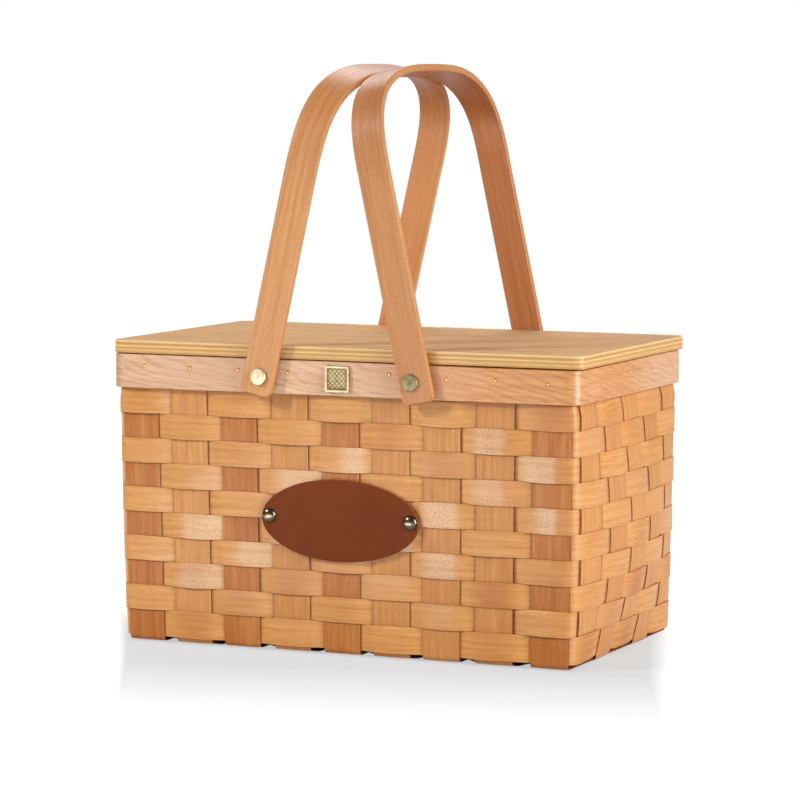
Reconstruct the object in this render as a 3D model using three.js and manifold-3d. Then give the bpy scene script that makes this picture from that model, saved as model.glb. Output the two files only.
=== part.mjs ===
// Woven splint picnic basket: ten woven rows round bent uprights, a rim of two strips,
// a plywood lid hinged at the back, and two bentwood handles that swing on rivets.
// Millimetres, +Z up, the front towards -Y. The origin is the middle of the base, on the table.
import * as THREE from "three";
import { mergeVertices } from "three/addons/utils/BufferGeometryUtils.js";
import Module from "manifold-3d";

const wasm = await Module();
wasm.setup();

// Rim: an outer and an inner bent strip that clamp the tops of the uprights
const RIM_LENGTH = 345;
const RIM_DEPTH = 207;
const RIM_BOTTOM = 177.5;
const RIM_HEIGHT = 23.5;
const RIM_CORNER = 10;
const OUTER_STRIP = 4;
const INNER_STRIP = 3;
const TIGHTEST_CORNER = 2;

// Uprights, called stakes: each is one splint bent up at both ends and woven into the base
const FRONT_STAKES = 9;
const SIDE_STAKES = 5;
const STAKE_WIDTH = 27;
const STAKE_THICKNESS = 1;
const STAKE_BEND = 3.2;
const STAKE_TOP_DROP = 0.5;
const WALL_LEAN = 3.2;

// Weavers: the level splints that go in and out of the stakes, row by row
const WEAVER_ROWS = 10;
const WEAVER_THICKNESS = 1;
const WEAVER_GAP = 0.3;
const CROSSING_MARGIN = 0.2;
const SPLINT_GAP = 0.1;

// Lid: a plywood board, set back where its hinges need room
const LID_THICKNESS = 9;
const LID_CORNER = 10;
const LID_END_OVERHANG = 1;
const LID_FRONT_SETBACK = 0.5;
const LID_REAR_SETBACK = 2;
const LID_SEAT_GAP = 0.3;

// Handles: two bentwood arches, at rest leaning edge to edge over the middle
const HANDLE_WIDTH = 22.5;
const HANDLE_THICKNESS = 5;
const HANDLE_RISE = 213.5;
const HANDLE_SHOULDER = 138;
const HANDLE_SQUARENESS = 2.8;
const HANDLE_TAIL = 14.5;
const HANDLE_END_CORNER = 5;
const HANDLE_STANDOFF = 1.5;
const CROWN_GAP = 0.3;

// Handle rivets, with a washer behind the leg and a burr washer inside the rim
const RIVET_HEAD = 11.5;
const RIVET_HEAD_HEIGHT = 2.4;
const RIVET_SHANK = 5.4;
const RIVET_TAIL = 8;
const RIVET_TAIL_HEIGHT = 1.2;
const WASHER_DIAMETER = 14;
const BURR_DIAMETER = 11;
const BURR_THICKNESS = 1;

// Hinges: two small brass butts, their knuckles level with the top of the lid
const HINGE_OFFSET = 24;
const HINGE_WIDTH = 24;
const HINGE_PLATE = 1;
const HINGE_RIM_DROP = 16;
const KNUCKLE_RADIUS = 2;
const PIN_RADIUS = 0.9;

// Leather patch on the front, with its two rivets
const PATCH_LENGTH = 116;
const PATCH_HEIGHT = 56;
const PATCH_THICKNESS = 2;
const PATCH_ROW = 5;
const PATCH_ROW_SHARE = 0.14;
const PATCH_RIVET_INSET = 5.7;
const PATCH_RIVET_RISE = 1.5;
const PATCH_RIVET_HEAD = 10;
const PATCH_RIVET_HEAD_HEIGHT = 3;
const PATCH_RIVET_SHANK = 3;
const PATCH_RIVET_TAIL = 6;
const PATCH_RIVET_TAIL_HEIGHT = 0.8;

// Brass badge on the front of the rim
const BADGE_SIDE = 17.8;
const BADGE_THICKNESS = 2;
const BADGE_CORNER = 1.5;
const BADGE_BORDER = 1.6;
const BADGE_POCKET = 0.6;

// Gap left between pieces that are seated on each other, and round a shank or a pin
const SEAT_GAP = 0.1;
const RUNNING_GAP = 0.3;

// Steps that round stretches are drawn in
const CORNER_STEPS = 4;
const BEND_STEPS = 4;
const ARCH_STEPS = 12;
const END_STEPS = 4;
const ROUND_STEPS = 16;
const DOME_STEPS = 4;
const OUTLINE_STEPS = 6;
const OVAL_STEPS = 40;

const QUARTER = Math.PI / 2;
const UPWARDS = new THREE.Vector3(0, 0, 1);
const MERGE = 1e-4;

const finish = (color, roughness, metalness = 0) =>
  new THREE.MeshStandardMaterial({ color, roughness, metalness });
const WEAVER_WOOD = finish("#dda066", 0.5);
const STAKE_WOOD = finish("#c28554", 0.55);
const RIM_WOOD = finish("#e0b08c", 0.5);
const LID_PLY = finish("#cfa67c", 0.5);
const HANDLE_WOOD = finish("#d29768", 0.45);
const LEATHER = finish("#7d4228", 0.55);
const BRASS = finish("#cdbb8a", 0.35, 0.9);

const basket = new THREE.Group();

// Adds a named piece to the basket or to one of its groups.
function part(name, geometry, material, parent = basket) {
  const mesh = new THREE.Mesh(geometry, material);
  mesh.name = name;
  parent.add(mesh);
}

// A closed geometry as a solid that can be cut and joined.
function solidOf(geometry) {
  const bare = new THREE.BufferGeometry();
  bare.setAttribute("position", geometry.getAttribute("position"));
  bare.setIndex(geometry.index);
  const merged = mergeVertices(bare, MERGE);
  return new wasm.Manifold(
    new wasm.Mesh({
      numProp: 3,
      vertProperties: merged.getAttribute("position").array,
      triVerts: new Uint32Array(merged.index.array),
    }),
  );
}

// A solid back as a geometry.
function geometryOf(solid) {
  const { vertProperties, triVerts } = solid.getMesh();
  const geometry = new THREE.BufferGeometry();
  geometry.setAttribute("position", new THREE.BufferAttribute(vertProperties, 3));
  geometry.setIndex(new THREE.BufferAttribute(triVerts, 1));
  geometry.computeVertexNormals();
  return geometry;
}

// A geometry with a list of bores cut out of it.
function drilled(geometry, bores) {
  return geometryOf(bores.reduce((solid, bore) => solid.subtract(solidOf(bore)), solidOf(geometry)));
}

// Several overlapping geometries joined into one.
function joined(geometries) {
  return geometries.map(solidOf).reduce((whole, next) => whole.add(next));
}

// A strip of four-cornered section through a list of sections, each four points in turn.
// A ring joins its last section to its first; an open strip has flat ends.
function strip(sections, ring = false) {
  const sides = 4;
  const index = [];
  const quad = (a, b, c, d) => index.push(a, b, c, a, c, d);
  const spans = ring ? sections.length : sections.length - 1;
  for (let i = 0; i < spans; i++) {
    const here = i * sides;
    const next = ((i + 1) % sections.length) * sides;
    for (let k = 0; k < sides; k++) {
      const turn = (k + 1) % sides;
      quad(here + k, next + k, next + turn, here + turn);
    }
  }
  if (!ring) {
    const last = (sections.length - 1) * sides;
    quad(0, 1, 2, 3);
    quad(last + 3, last + 2, last + 1, last);
  }
  const geometry = new THREE.BufferGeometry();
  geometry.setFromPoints(sections.flat());
  geometry.setIndex(index);
  geometry.computeVertexNormals();
  return geometry;
}

// A rectangle with round corners, as a shape or as a hole's path.
function roundedRectangle(length, depth, radius, path = new THREE.Shape()) {
  const x = length / 2 - radius;
  const y = depth / 2 - radius;
  path.moveTo(x, -y - radius);
  path.absarc(x, -y, radius, -QUARTER, 0);
  path.absarc(x, y, radius, 0, QUARTER);
  path.absarc(-x, y, radius, QUARTER, 2 * QUARTER);
  path.absarc(-x, -y, radius, 2 * QUARTER, 3 * QUARTER);
  path.closePath();
  return path;
}

// A shape drawn flat and raised by a height.
function raised(shape, height, curveSegments = OUTLINE_STEPS) {
  return new THREE.ExtrudeGeometry(shape, { depth: height, bevelEnabled: false, curveSegments });
}

// A bar along Y, such as a bore through both long walls.
function barAlongY(radius, length, x, z) {
  return new THREE.CylinderGeometry(radius, radius, length, ROUND_STEPS).translate(x, 0, z);
}

// A bar along X.
function barAlongX(radius, length) {
  return new THREE.CylinderGeometry(radius, radius, length, ROUND_STEPS).rotateZ(QUARTER);
}

// A flat ring along Y from its front face to its back face.
function ringAlongY(outer, bore, thickness) {
  const half = thickness / 2;
  const corners = [[bore, -half], [outer, -half], [outer, half], [bore, half], [bore, -half]];
  return new THREE.LatheGeometry(corners.map(([r, y]) => new THREE.Vector2(r, y)), ROUND_STEPS);
}

// A rivet along Y. Its head's underside is at y = 0, its dome is towards -Y,
// and its peened tail lies past the grip.
function rivet({ head, headHeight, shank, grip, tail, tailHeight }) {
  const profile = [];
  for (let i = 0; i <= DOME_STEPS; i++) {
    const turn = (QUARTER * i) / DOME_STEPS;
    profile.push(new THREE.Vector2((head / 2) * Math.sin(turn), -headHeight * Math.cos(turn)));
  }
  profile.push(new THREE.Vector2(shank / 2, 0));
  profile.push(new THREE.Vector2(shank / 2, grip));
  profile.push(new THREE.Vector2(tail / 2, grip));
  profile.push(new THREE.Vector2(tail / 2, grip + tailHeight));
  profile.push(new THREE.Vector2(0, grip + tailHeight));
  return new THREE.LatheGeometry(profile, ROUND_STEPS);
}

// The wall's middle surface
const RIM_TOP = RIM_BOTTOM + RIM_HEIGHT;
const RIM_MIDDLE = RIM_BOTTOM + RIM_HEIGHT / 2;
const WALL_INSET = OUTER_STRIP + SPLINT_GAP + STAKE_THICKNESS / 2;
const WALL_CORNER = Math.max(RIM_CORNER - WALL_INSET, STAKE_BEND);
const CROSSING = (STAKE_THICKNESS + WEAVER_THICKNESS) / 2 + SPLINT_GAP;

// Half of a rim side, brought in to the middle of the wall at a height.
function wallHalf(rimSide, z) {
  const lean = (WALL_LEAN * Math.max(0, RIM_BOTTOM - z)) / RIM_BOTTOM;
  return rimSide / 2 - WALL_INSET - lean;
}

// Place along a wall of one of its evenly spread stakes, at a height.
function stakeCentre(index, count, rimSide, z) {
  const reach = wallHalf(rimSide, z) - WALL_CORNER - STAKE_WIDTH / 2;
  return reach * ((2 * index) / (count - 1) - 1);
}

// How far a splint runs straight past a stake's edge before it crosses the wall.
function crossingMargin(count, rimSide, z) {
  const pitch = stakeCentre(1, count, rimSide, z) - stakeCentre(0, count, rimSide, z);
  return CROSSING_MARGIN * (pitch - STAKE_WIDTH);
}

// Base: front-to-back stakes lie level, side stakes go over and under them.
const BASE_STEP = STAKE_THICKNESS + SPLINT_GAP;
const BASE_LEVEL = STAKE_THICKNESS / 2 + BASE_STEP;
const BASE_OVER = BASE_LEVEL + BASE_STEP;
const BASE_UNDER = BASE_LEVEL - BASE_STEP;

// Sections of one U-shaped stake. Its run is along Y from front to back, or along X from left
// to right; levels are the heights at its base, each with the place along the run.
function stakeSections(place, runSide, levels, pointOf) {
  const sections = [];
  const section = (along, z, outAlong, outZ) => {
    const half = STAKE_THICKNESS / 2;
    const corner = (side, out) =>
      pointOf(place(z) + (side * STAKE_WIDTH) / 2, along + out * half * outAlong, z + out * half * outZ);
    sections.push([corner(-1, 1), corner(1, 1), corner(1, -1), corner(-1, -1)]);
  };
  const wallEnd = (sign, level) => {
    const bendZ = level + STAKE_BEND;
    const steps = [
      () => section(sign * wallHalf(runSide, RIM_TOP), RIM_TOP - STAKE_TOP_DROP, sign, 0),
      () => section(sign * wallHalf(runSide, RIM_BOTTOM), RIM_BOTTOM, sign, 0),
    ];
    for (let i = 0; i <= BEND_STEPS; i++) {
      const turn = (QUARTER * i) / BEND_STEPS;
      const out = Math.cos(turn);
      const down = Math.sin(turn);
      const along = sign * (wallHalf(runSide, bendZ) - STAKE_BEND * (1 - out));
      steps.push(() => section(along, bendZ - STAKE_BEND * down, sign * out, -down));
    }
    if (sign > 0) steps.reverse();
    steps.forEach((step) => step());
  };
  wallEnd(-1, levels[0].z);
  levels.forEach(({ along, z }) => section(along, z, 0, -1));
  wallEnd(1, levels[levels.length - 1].z);
  return sections;
}

// Handle pivots pass the rim in the second gap out from the middle stake
const PIVOT_STAKE = (FRONT_STAKES - 1) / 2 + 3 / 2;
const PIVOT_X = stakeCentre(PIVOT_STAKE, FRONT_STAKES, RIM_LENGTH, RIM_BOTTOM);
const pivotBores = [-PIVOT_X, PIVOT_X].map((x) =>
  barAlongY(RIVET_SHANK / 2 + RUNNING_GAP, 2 * RIM_DEPTH, x, RIM_MIDDLE),
);

// Levels of the woven rows, counted from the top
const WEAVE_BOTTOM = BASE_OVER + STAKE_BEND + SPLINT_GAP;
const WEAVE_TOP = RIM_BOTTOM - WEAVER_GAP;
const ROW_PITCH = (WEAVE_TOP - WEAVE_BOTTOM) / WEAVER_ROWS;
const rowTop = (row) => WEAVE_TOP - row * ROW_PITCH;
const rowBottom = (row) => rowTop(row + 1) + WEAVER_GAP;

// The patch's own frame lies on the weave and leans with the front wall.
// Its rivets go through one row, a share of the row's height above that row's lower edge.
const patchPlace = new THREE.Group();
const PATCH_RIVET_Z = rowBottom(PATCH_ROW - 1) + PATCH_ROW_SHARE * (ROW_PITCH - WEAVER_GAP);
const PATCH_CENTRE_Z = PATCH_RIVET_Z - PATCH_RIVET_RISE;
const PATCH_RIVET_X = PATCH_LENGTH / 2 - PATCH_RIVET_INSET;
const PATCH_OUT = CROSSING + WEAVER_THICKNESS / 2 + RUNNING_GAP;
const WEAVE_DEPTH = 2 * CROSSING + WEAVER_THICKNESS + 2 * RUNNING_GAP;
patchPlace.position.set(0, -wallHalf(RIM_DEPTH, PATCH_CENTRE_Z) - PATCH_OUT, PATCH_CENTRE_Z);
patchPlace.rotation.x = Math.atan(WALL_LEAN / RIM_BOTTOM);
patchPlace.updateMatrixWorld(true);
basket.add(patchPlace);
const patchRivets = { left: -PATCH_RIVET_X, right: PATCH_RIVET_X };
const patchBores = Object.values(patchRivets).map((x) => {
  const radius = PATCH_RIVET_SHANK / 2 + RUNNING_GAP;
  return barAlongY(radius, 2 * (PATCH_THICKNESS + WEAVE_DEPTH), x, PATCH_RIVET_RISE);
});
const wallBores = patchBores.map((bore) => bore.clone().applyMatrix4(patchPlace.matrixWorld));

// Front-to-back stakes
for (let i = 0; i < FRONT_STAKES; i++) {
  const place = (z) => stakeCentre(i, FRONT_STAKES, RIM_LENGTH, z);
  const pointOf = (across, along, z) => new THREE.Vector3(across, along, z);
  const sections = stakeSections(place, RIM_DEPTH, [{ along: 0, z: BASE_LEVEL }], pointOf);
  const bores = [...pivotBores, ...wallBores];
  part(`front_stake_${i + 1}`, drilled(strip(sections), bores), STAKE_WOOD);
}

// Side stakes, woven over and under the front-to-back ones in the base
for (let j = 0; j < SIDE_STAKES; j++) {
  const place = (z) => stakeCentre(j, SIDE_STAKES, RIM_DEPTH, z);
  const pointOf = (across, along, z) => new THREE.Vector3(along, -across, z);
  const margin = STAKE_WIDTH / 2 + crossingMargin(FRONT_STAKES, RIM_LENGTH, BASE_LEVEL);
  const levels = [];
  for (let i = 0; i < FRONT_STAKES; i++) {
    const centre = stakeCentre(i, FRONT_STAKES, RIM_LENGTH, BASE_LEVEL);
    const z = (i + j) % 2 ? BASE_OVER : BASE_UNDER;
    if (i > 0) levels.push({ along: centre - margin, z });
    if (i < FRONT_STAKES - 1) levels.push({ along: centre + margin, z });
  }
  part(`side_stake_${j + 1}`, strip(stakeSections(place, RIM_LENGTH, levels, pointOf)), STAKE_WOOD);
}

// Weavers: each is a level ring, outside one stake and inside the next
const walls = [
  { count: FRONT_STAKES, along: RIM_LENGTH, out: RIM_DEPTH },
  { count: SIDE_STAKES, along: RIM_DEPTH, out: RIM_LENGTH },
  { count: FRONT_STAKES, along: RIM_LENGTH, out: RIM_DEPTH },
  { count: SIDE_STAKES, along: RIM_DEPTH, out: RIM_LENGTH },
];

// Where a weaver goes on one wall: places along it and out from it, as functions of height.
function wallStations(wall, firstSide) {
  const stations = [];
  for (let i = 0; i < wall.count; i++) {
    const offset = i % 2 ? -firstSide : firstSide;
    for (const end of [-1, 1]) {
      const atCorner = end < 0 ? i === 0 : i === wall.count - 1;
      const along = (z) => {
        const margin = atCorner ? 0 : crossingMargin(wall.count, wall.along, z);
        return stakeCentre(i, wall.count, wall.along, z) + end * (STAKE_WIDTH / 2 + margin);
      };
      stations.push({ along, out: (z) => wallHalf(wall.out, z), turn: 0, offset });
    }
  }
  return stations;
}

// Where it goes round the corner that follows, from one side of the wall to the other.
function cornerStations(wall, offset) {
  const stations = [];
  for (let i = 1; i < CORNER_STEPS; i++) {
    const share = i / CORNER_STEPS;
    const turn = QUARTER * share;
    const along = (z) => wallHalf(wall.along, z) - WALL_CORNER * (1 - Math.sin(turn));
    const out = (z) => wallHalf(wall.out, z) - WALL_CORNER * (1 - Math.cos(turn));
    stations.push({ along, out, turn, offset: offset * (1 - 2 * share) });
  }
  return stations;
}

for (let row = 0; row < WEAVER_ROWS; row++) {
  const top = rowTop(row);
  const bottom = rowBottom(row);
  const sections = [];
  let side = row % 2 ? -CROSSING : CROSSING;
  walls.forEach((wall, w) => {
    const lastSide = wall.count % 2 ? side : -side;
    const stations = [...wallStations(wall, side), ...cornerStations(wall, lastSide)];
    for (const { along, out, turn, offset } of stations) {
      const corner = (z, skin) => {
        const shift = offset + (skin * WEAVER_THICKNESS) / 2;
        const u = along(z) + shift * Math.sin(turn);
        const v = out(z) + shift * Math.cos(turn);
        return new THREE.Vector3(u, -v, z).applyAxisAngle(UPWARDS, QUARTER * w);
      };
      sections.push([corner(bottom, -1), corner(bottom, 1), corner(top, 1), corner(top, -1)]);
    }
    side = -lastSide;
  });
  const name = `weaver_${String(row + 1).padStart(2, "0")}`;
  part(name, drilled(strip(sections, true), wallBores), WEAVER_WOOD);
}

// Rim strips
function rimStrip(inset, thickness) {
  const outline = (by) => {
    const corner = Math.max(RIM_CORNER - by, TIGHTEST_CORNER);
    return [RIM_LENGTH - 2 * by, RIM_DEPTH - 2 * by, corner];
  };
  const shape = roundedRectangle(...outline(inset));
  shape.holes.push(roundedRectangle(...outline(inset + thickness), new THREE.Path()));
  return drilled(raised(shape, RIM_HEIGHT).translate(0, 0, RIM_BOTTOM), pivotBores);
}
const INNER_INSET = WALL_INSET + STAKE_THICKNESS / 2 + SPLINT_GAP;
part("outer_rim", rimStrip(0, OUTER_STRIP), RIM_WOOD);
part("inner_rim", rimStrip(INNER_INSET, INNER_STRIP), RIM_WOOD);

// Lid
const LID_BOTTOM = RIM_TOP + LID_SEAT_GAP;
const LID_REAR = RIM_DEPTH / 2 - LID_REAR_SETBACK;
const LID_DEPTH = RIM_DEPTH - LID_FRONT_SETBACK - LID_REAR_SETBACK;
const lidShape = roundedRectangle(RIM_LENGTH + 2 * LID_END_OVERHANG, LID_DEPTH, LID_CORNER);
part("lid", raised(lidShape, LID_THICKNESS).translate(0, LID_REAR - LID_DEPTH / 2, LID_BOTTOM), LID_PLY);

// Hinges, each in a group on its axis
const AXIS_Y = LID_REAR + KNUCKLE_RADIUS + RUNNING_GAP;
const AXIS_Z = LID_BOTTOM + LID_THICKNESS - KNUCKLE_RADIUS;
const KNUCKLE_LENGTH = (HINGE_WIDTH - 2 * RUNNING_GAP) / 3;
const LEAF_TOP = -KNUCKLE_RADIUS - RUNNING_GAP;

// A flat plate between two heights, from its near face.
function plate(width, nearY, lowZ, highZ, x = 0) {
  const box = new THREE.BoxGeometry(width, HINGE_PLATE, highZ - lowZ);
  return box.translate(x, nearY + HINGE_PLATE / 2, (lowZ + highZ) / 2);
}

// A hinge leaf: a plate with a tab up to each of its knuckles, bored for the pin.
function hingeLeaf(nearY, lowZ, knucklePlaces) {
  const pieces = [plate(HINGE_WIDTH, nearY, lowZ, LEAF_TOP)];
  for (const x of knucklePlaces) {
    pieces.push(plate(KNUCKLE_LENGTH, nearY, LEAF_TOP - HINGE_PLATE, 0, x));
    pieces.push(barAlongX(KNUCKLE_RADIUS, KNUCKLE_LENGTH).translate(x, 0, 0));
  }
  const bore = barAlongX(PIN_RADIUS + RUNNING_GAP, 2 * HINGE_WIDTH);
  return geometryOf(joined(pieces).subtract(solidOf(bore)));
}

for (const [name, x] of [["left", -HINGE_OFFSET], ["right", HINGE_OFFSET]]) {
  const hinge = new THREE.Group();
  hinge.position.set(x, AXIS_Y, AXIS_Z);
  basket.add(hinge);
  const outer = KNUCKLE_LENGTH + RUNNING_GAP;
  const rimFace = RIM_DEPTH / 2 + SEAT_GAP - AXIS_Y;
  const lidFace = LID_REAR + SEAT_GAP - AXIS_Y;
  const rimLow = RIM_TOP - HINGE_RIM_DROP - AXIS_Z;
  const lidLow = LID_BOTTOM + RUNNING_GAP - AXIS_Z;
  part(`${name}_hinge_rim_leaf`, hingeLeaf(rimFace, rimLow, [-outer, outer]), BRASS, hinge);
  part(`${name}_hinge_lid_leaf`, hingeLeaf(lidFace, lidLow, [0]), BRASS, hinge);
  part(`${name}_hinge_pin`, barAlongX(PIN_RADIUS, HINGE_WIDTH), BRASS, hinge);
}

// Handles: the arch is a straight leg, then a rounded crown, and the same again down the back
const LEG_INSIDE = RIM_DEPTH / 2 + HANDLE_STANDOFF;
const LEG_MIDDLE = LEG_INSIDE + HANDLE_THICKNESS / 2;
const CROWN_RISE = HANDLE_RISE - HANDLE_THICKNESS / 2 - HANDLE_SHOULDER;

// Point of the rounded crown's middle line, from the leg at 0 over to the other leg at 1.
function crownPoint(share) {
  const turn = 2 * QUARTER * share;
  const across = Math.cos(turn);
  const up = Math.sin(turn);
  const sum = Math.abs(across) ** HANDLE_SQUARENESS + Math.abs(up) ** HANDLE_SQUARENESS;
  const reach = sum ** (-1 / HANDLE_SQUARENESS);
  return new THREE.Vector2(-LEG_MIDDLE * reach * across, HANDLE_SHOULDER + CROWN_RISE * reach * up);
}

// Middle line of the whole arch, with the half width at each point: the ends are rounded.
function archLine() {
  const end = [];
  for (let i = 0; i <= END_STEPS; i++) {
    const turn = (QUARTER * i) / END_STEPS;
    end.push({
      y: -LEG_MIDDLE,
      z: -HANDLE_TAIL + HANDLE_END_CORNER * (1 - Math.cos(turn)),
      half: HANDLE_WIDTH / 2 - HANDLE_END_CORNER * (1 - Math.sin(turn)),
    });
  }
  const crown = [];
  for (let i = 0; i <= 2 * ARCH_STEPS; i++) {
    const { x: y, y: z } = crownPoint(i / (2 * ARCH_STEPS));
    crown.push({ y, z, half: HANDLE_WIDTH / 2 });
  }
  const back = end.map((point) => ({ ...point, y: -point.y })).reverse();
  return [...end, ...crown, ...back];
}

// The bent strip, with its thickness set off square to the middle line.
function handleStrip() {
  const line = archLine();
  const sections = line.map(({ y, z, half }, i) => {
    const before = line[Math.max(i - 1, 0)];
    const after = line[Math.min(i + 1, line.length - 1)];
    const along = new THREE.Vector2(after.y - before.y, after.z - before.z).normalize();
    const corner = (side, out) => {
      const shift = (out * HANDLE_THICKNESS) / 2;
      return new THREE.Vector3(side * half, y - shift * along.y, z + shift * along.x);
    };
    return [corner(-1, -1), corner(1, -1), corner(1, 1), corner(-1, 1)];
  });
  return strip(sections);
}

// Lean at which the crowns' near edges meet over the middle.
const crownEdge = new THREE.Vector2(HANDLE_RISE, HANDLE_WIDTH / 2);
const HANDLE_LEAN = Math.asin((PIVOT_X - CROWN_GAP / 2) / crownEdge.length()) - crownEdge.angle();
const handleBore = barAlongY(RIVET_SHANK / 2 + RUNNING_GAP, 2 * RIM_DEPTH, 0, 0);
const handleGeometry = drilled(handleStrip(), [handleBore]);

// What passes through a leg, the rim and the burr washer
const INSIDE_FACE = RIM_DEPTH / 2 - INNER_INSET - INNER_STRIP;
const LEG_OUTSIDE = LEG_INSIDE + HANDLE_THICKNESS;
const RIVET_GRIP = LEG_OUTSIDE - INSIDE_FACE + BURR_THICKNESS + 3 * SEAT_GAP;
const handleRivet = rivet({
  head: RIVET_HEAD,
  headHeight: RIVET_HEAD_HEIGHT,
  shank: RIVET_SHANK,
  grip: RIVET_GRIP,
  tail: RIVET_TAIL,
  tailHeight: RIVET_TAIL_HEIGHT,
});
const shankBore = RIVET_SHANK / 2 + RUNNING_GAP;
const legWasher = ringAlongY(WASHER_DIAMETER / 2, shankBore, HANDLE_STANDOFF - 2 * SEAT_GAP);
const burrWasher = ringAlongY(BURR_DIAMETER / 2, shankBore, BURR_THICKNESS);

for (const [side, sign] of [["left", -1], ["right", 1]]) {
  const swing = new THREE.Group();
  swing.position.set(sign * PIVOT_X, 0, RIM_MIDDLE);
  swing.rotation.y = -sign * HANDLE_LEAN;
  basket.add(swing);
  part(`${side}_handle`, handleGeometry, HANDLE_WOOD, swing);
  for (const [wall, turn] of [["front", 0], ["back", 2 * QUARTER]]) {
    const pivot = new THREE.Group();
    pivot.position.set(sign * PIVOT_X, 0, RIM_MIDDLE);
    pivot.rotation.z = turn;
    basket.add(pivot);
    const name = `${wall}_${side}`;
    const head = handleRivet.clone().translate(0, -LEG_OUTSIDE - SEAT_GAP, 0);
    const washer = legWasher.clone().translate(0, -LEG_INSIDE + HANDLE_STANDOFF / 2, 0);
    const burr = burrWasher.clone().translate(0, -INSIDE_FACE + SEAT_GAP + BURR_THICKNESS / 2, 0);
    part(`${name}_handle_rivet`, head, BRASS, pivot);
    part(`${name}_handle_washer`, washer, BRASS, pivot);
    part(`${name}_rivet_burr`, burr, BRASS, pivot);
  }
}

// Leather patch and its rivets
const oval = new THREE.Shape().absellipse(0, 0, PATCH_LENGTH / 2, PATCH_HEIGHT / 2, 0, 4 * QUARTER);
const patchBoard = raised(oval, PATCH_THICKNESS, OVAL_STEPS).rotateX(QUARTER);
part("leather_patch", drilled(patchBoard, patchBores), LEATHER, patchPlace);
const patchRivet = rivet({
  head: PATCH_RIVET_HEAD,
  headHeight: PATCH_RIVET_HEAD_HEIGHT,
  shank: PATCH_RIVET_SHANK,
  grip: SEAT_GAP + PATCH_THICKNESS + WEAVE_DEPTH,
  tail: PATCH_RIVET_TAIL,
  tailHeight: PATCH_RIVET_TAIL_HEIGHT,
});
for (const [side, x] of Object.entries(patchRivets)) {
  const seated = patchRivet.clone().translate(x, -PATCH_THICKNESS - SEAT_GAP, PATCH_RIVET_RISE);
  part(`${side}_patch_rivet`, seated, BRASS, patchPlace);
}

// Badge: a square plate with a raised border
const badgePlate = raised(roundedRectangle(BADGE_SIDE, BADGE_SIDE, BADGE_CORNER), BADGE_THICKNESS);
const pocketSide = BADGE_SIDE - 2 * BADGE_BORDER;
const badgePocket = new THREE.BoxGeometry(pocketSide, pocketSide, 2 * BADGE_POCKET);
const badge = drilled(badgePlate, [badgePocket.translate(0, 0, BADGE_THICKNESS)]);
part("badge", badge.rotateX(QUARTER).translate(0, -RIM_DEPTH / 2 - SEAT_GAP, RIM_MIDDLE), BRASS);

export default basket;
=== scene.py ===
"""Looks of a woven splint picnic basket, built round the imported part.

Sizes are in millimetres until they reach a mesh, which is in metres.
The front is towards -Y, +Z is up, and the basket stands on z = 0.
"""

import logging
import math
from collections.abc import Sequence
from dataclasses import dataclass, field
from enum import Enum

import bmesh
import bpy
import numpy as np
from mathutils import Matrix, Vector


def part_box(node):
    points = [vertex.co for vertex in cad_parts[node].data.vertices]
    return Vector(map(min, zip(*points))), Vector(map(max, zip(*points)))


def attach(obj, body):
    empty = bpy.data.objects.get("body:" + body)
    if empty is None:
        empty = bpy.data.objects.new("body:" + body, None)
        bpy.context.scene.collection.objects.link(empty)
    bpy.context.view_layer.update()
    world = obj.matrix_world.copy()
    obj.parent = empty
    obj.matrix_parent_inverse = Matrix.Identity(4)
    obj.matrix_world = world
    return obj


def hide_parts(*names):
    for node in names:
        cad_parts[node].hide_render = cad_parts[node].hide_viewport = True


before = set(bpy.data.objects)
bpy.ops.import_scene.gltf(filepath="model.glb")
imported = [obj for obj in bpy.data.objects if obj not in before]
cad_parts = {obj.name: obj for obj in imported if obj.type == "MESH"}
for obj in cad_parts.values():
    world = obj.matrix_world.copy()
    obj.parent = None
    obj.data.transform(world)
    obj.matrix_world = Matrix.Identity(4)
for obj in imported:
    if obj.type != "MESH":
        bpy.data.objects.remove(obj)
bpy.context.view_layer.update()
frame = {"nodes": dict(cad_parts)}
LOG = logging.getLogger("basket")
MM = 0.001
GRAIN = "grain"
TONE = "tone"
STAIN_AND_SHADE = "soil"
SHINE = "shine"
QUARTER = math.pi / 2
ROUND = 2 * math.pi
# Cosine and sine of the turn of each wall: front, right end, back and left end.
TURNS = ((1, 0), (0, 1), (-1, 0), (0, -1))
SIDES = (("left", -1), ("right", 1))

Tree = bpy.types.NodeTree
Socket = bpy.types.NodeSocket
Feed = Socket | float | str | tuple
Pair = tuple[float, float]


def linear(colour: str) -> tuple[float, float, float, float]:
    """Turns an sRGB hex colour into linear light.

    Args:
        colour: Six hex digits after a hash sign.

    Returns:
        Red, green, blue and alpha for a shader's socket.
    """
    srgb = np.array([int(colour[i : i + 2], 16) for i in (1, 3, 5)]) / 255
    light = np.where(srgb <= 0.04045, srgb / 12.92, ((srgb + 0.055) / 1.055) ** 2.4)
    return (*light.tolist(), 1.0)


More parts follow.
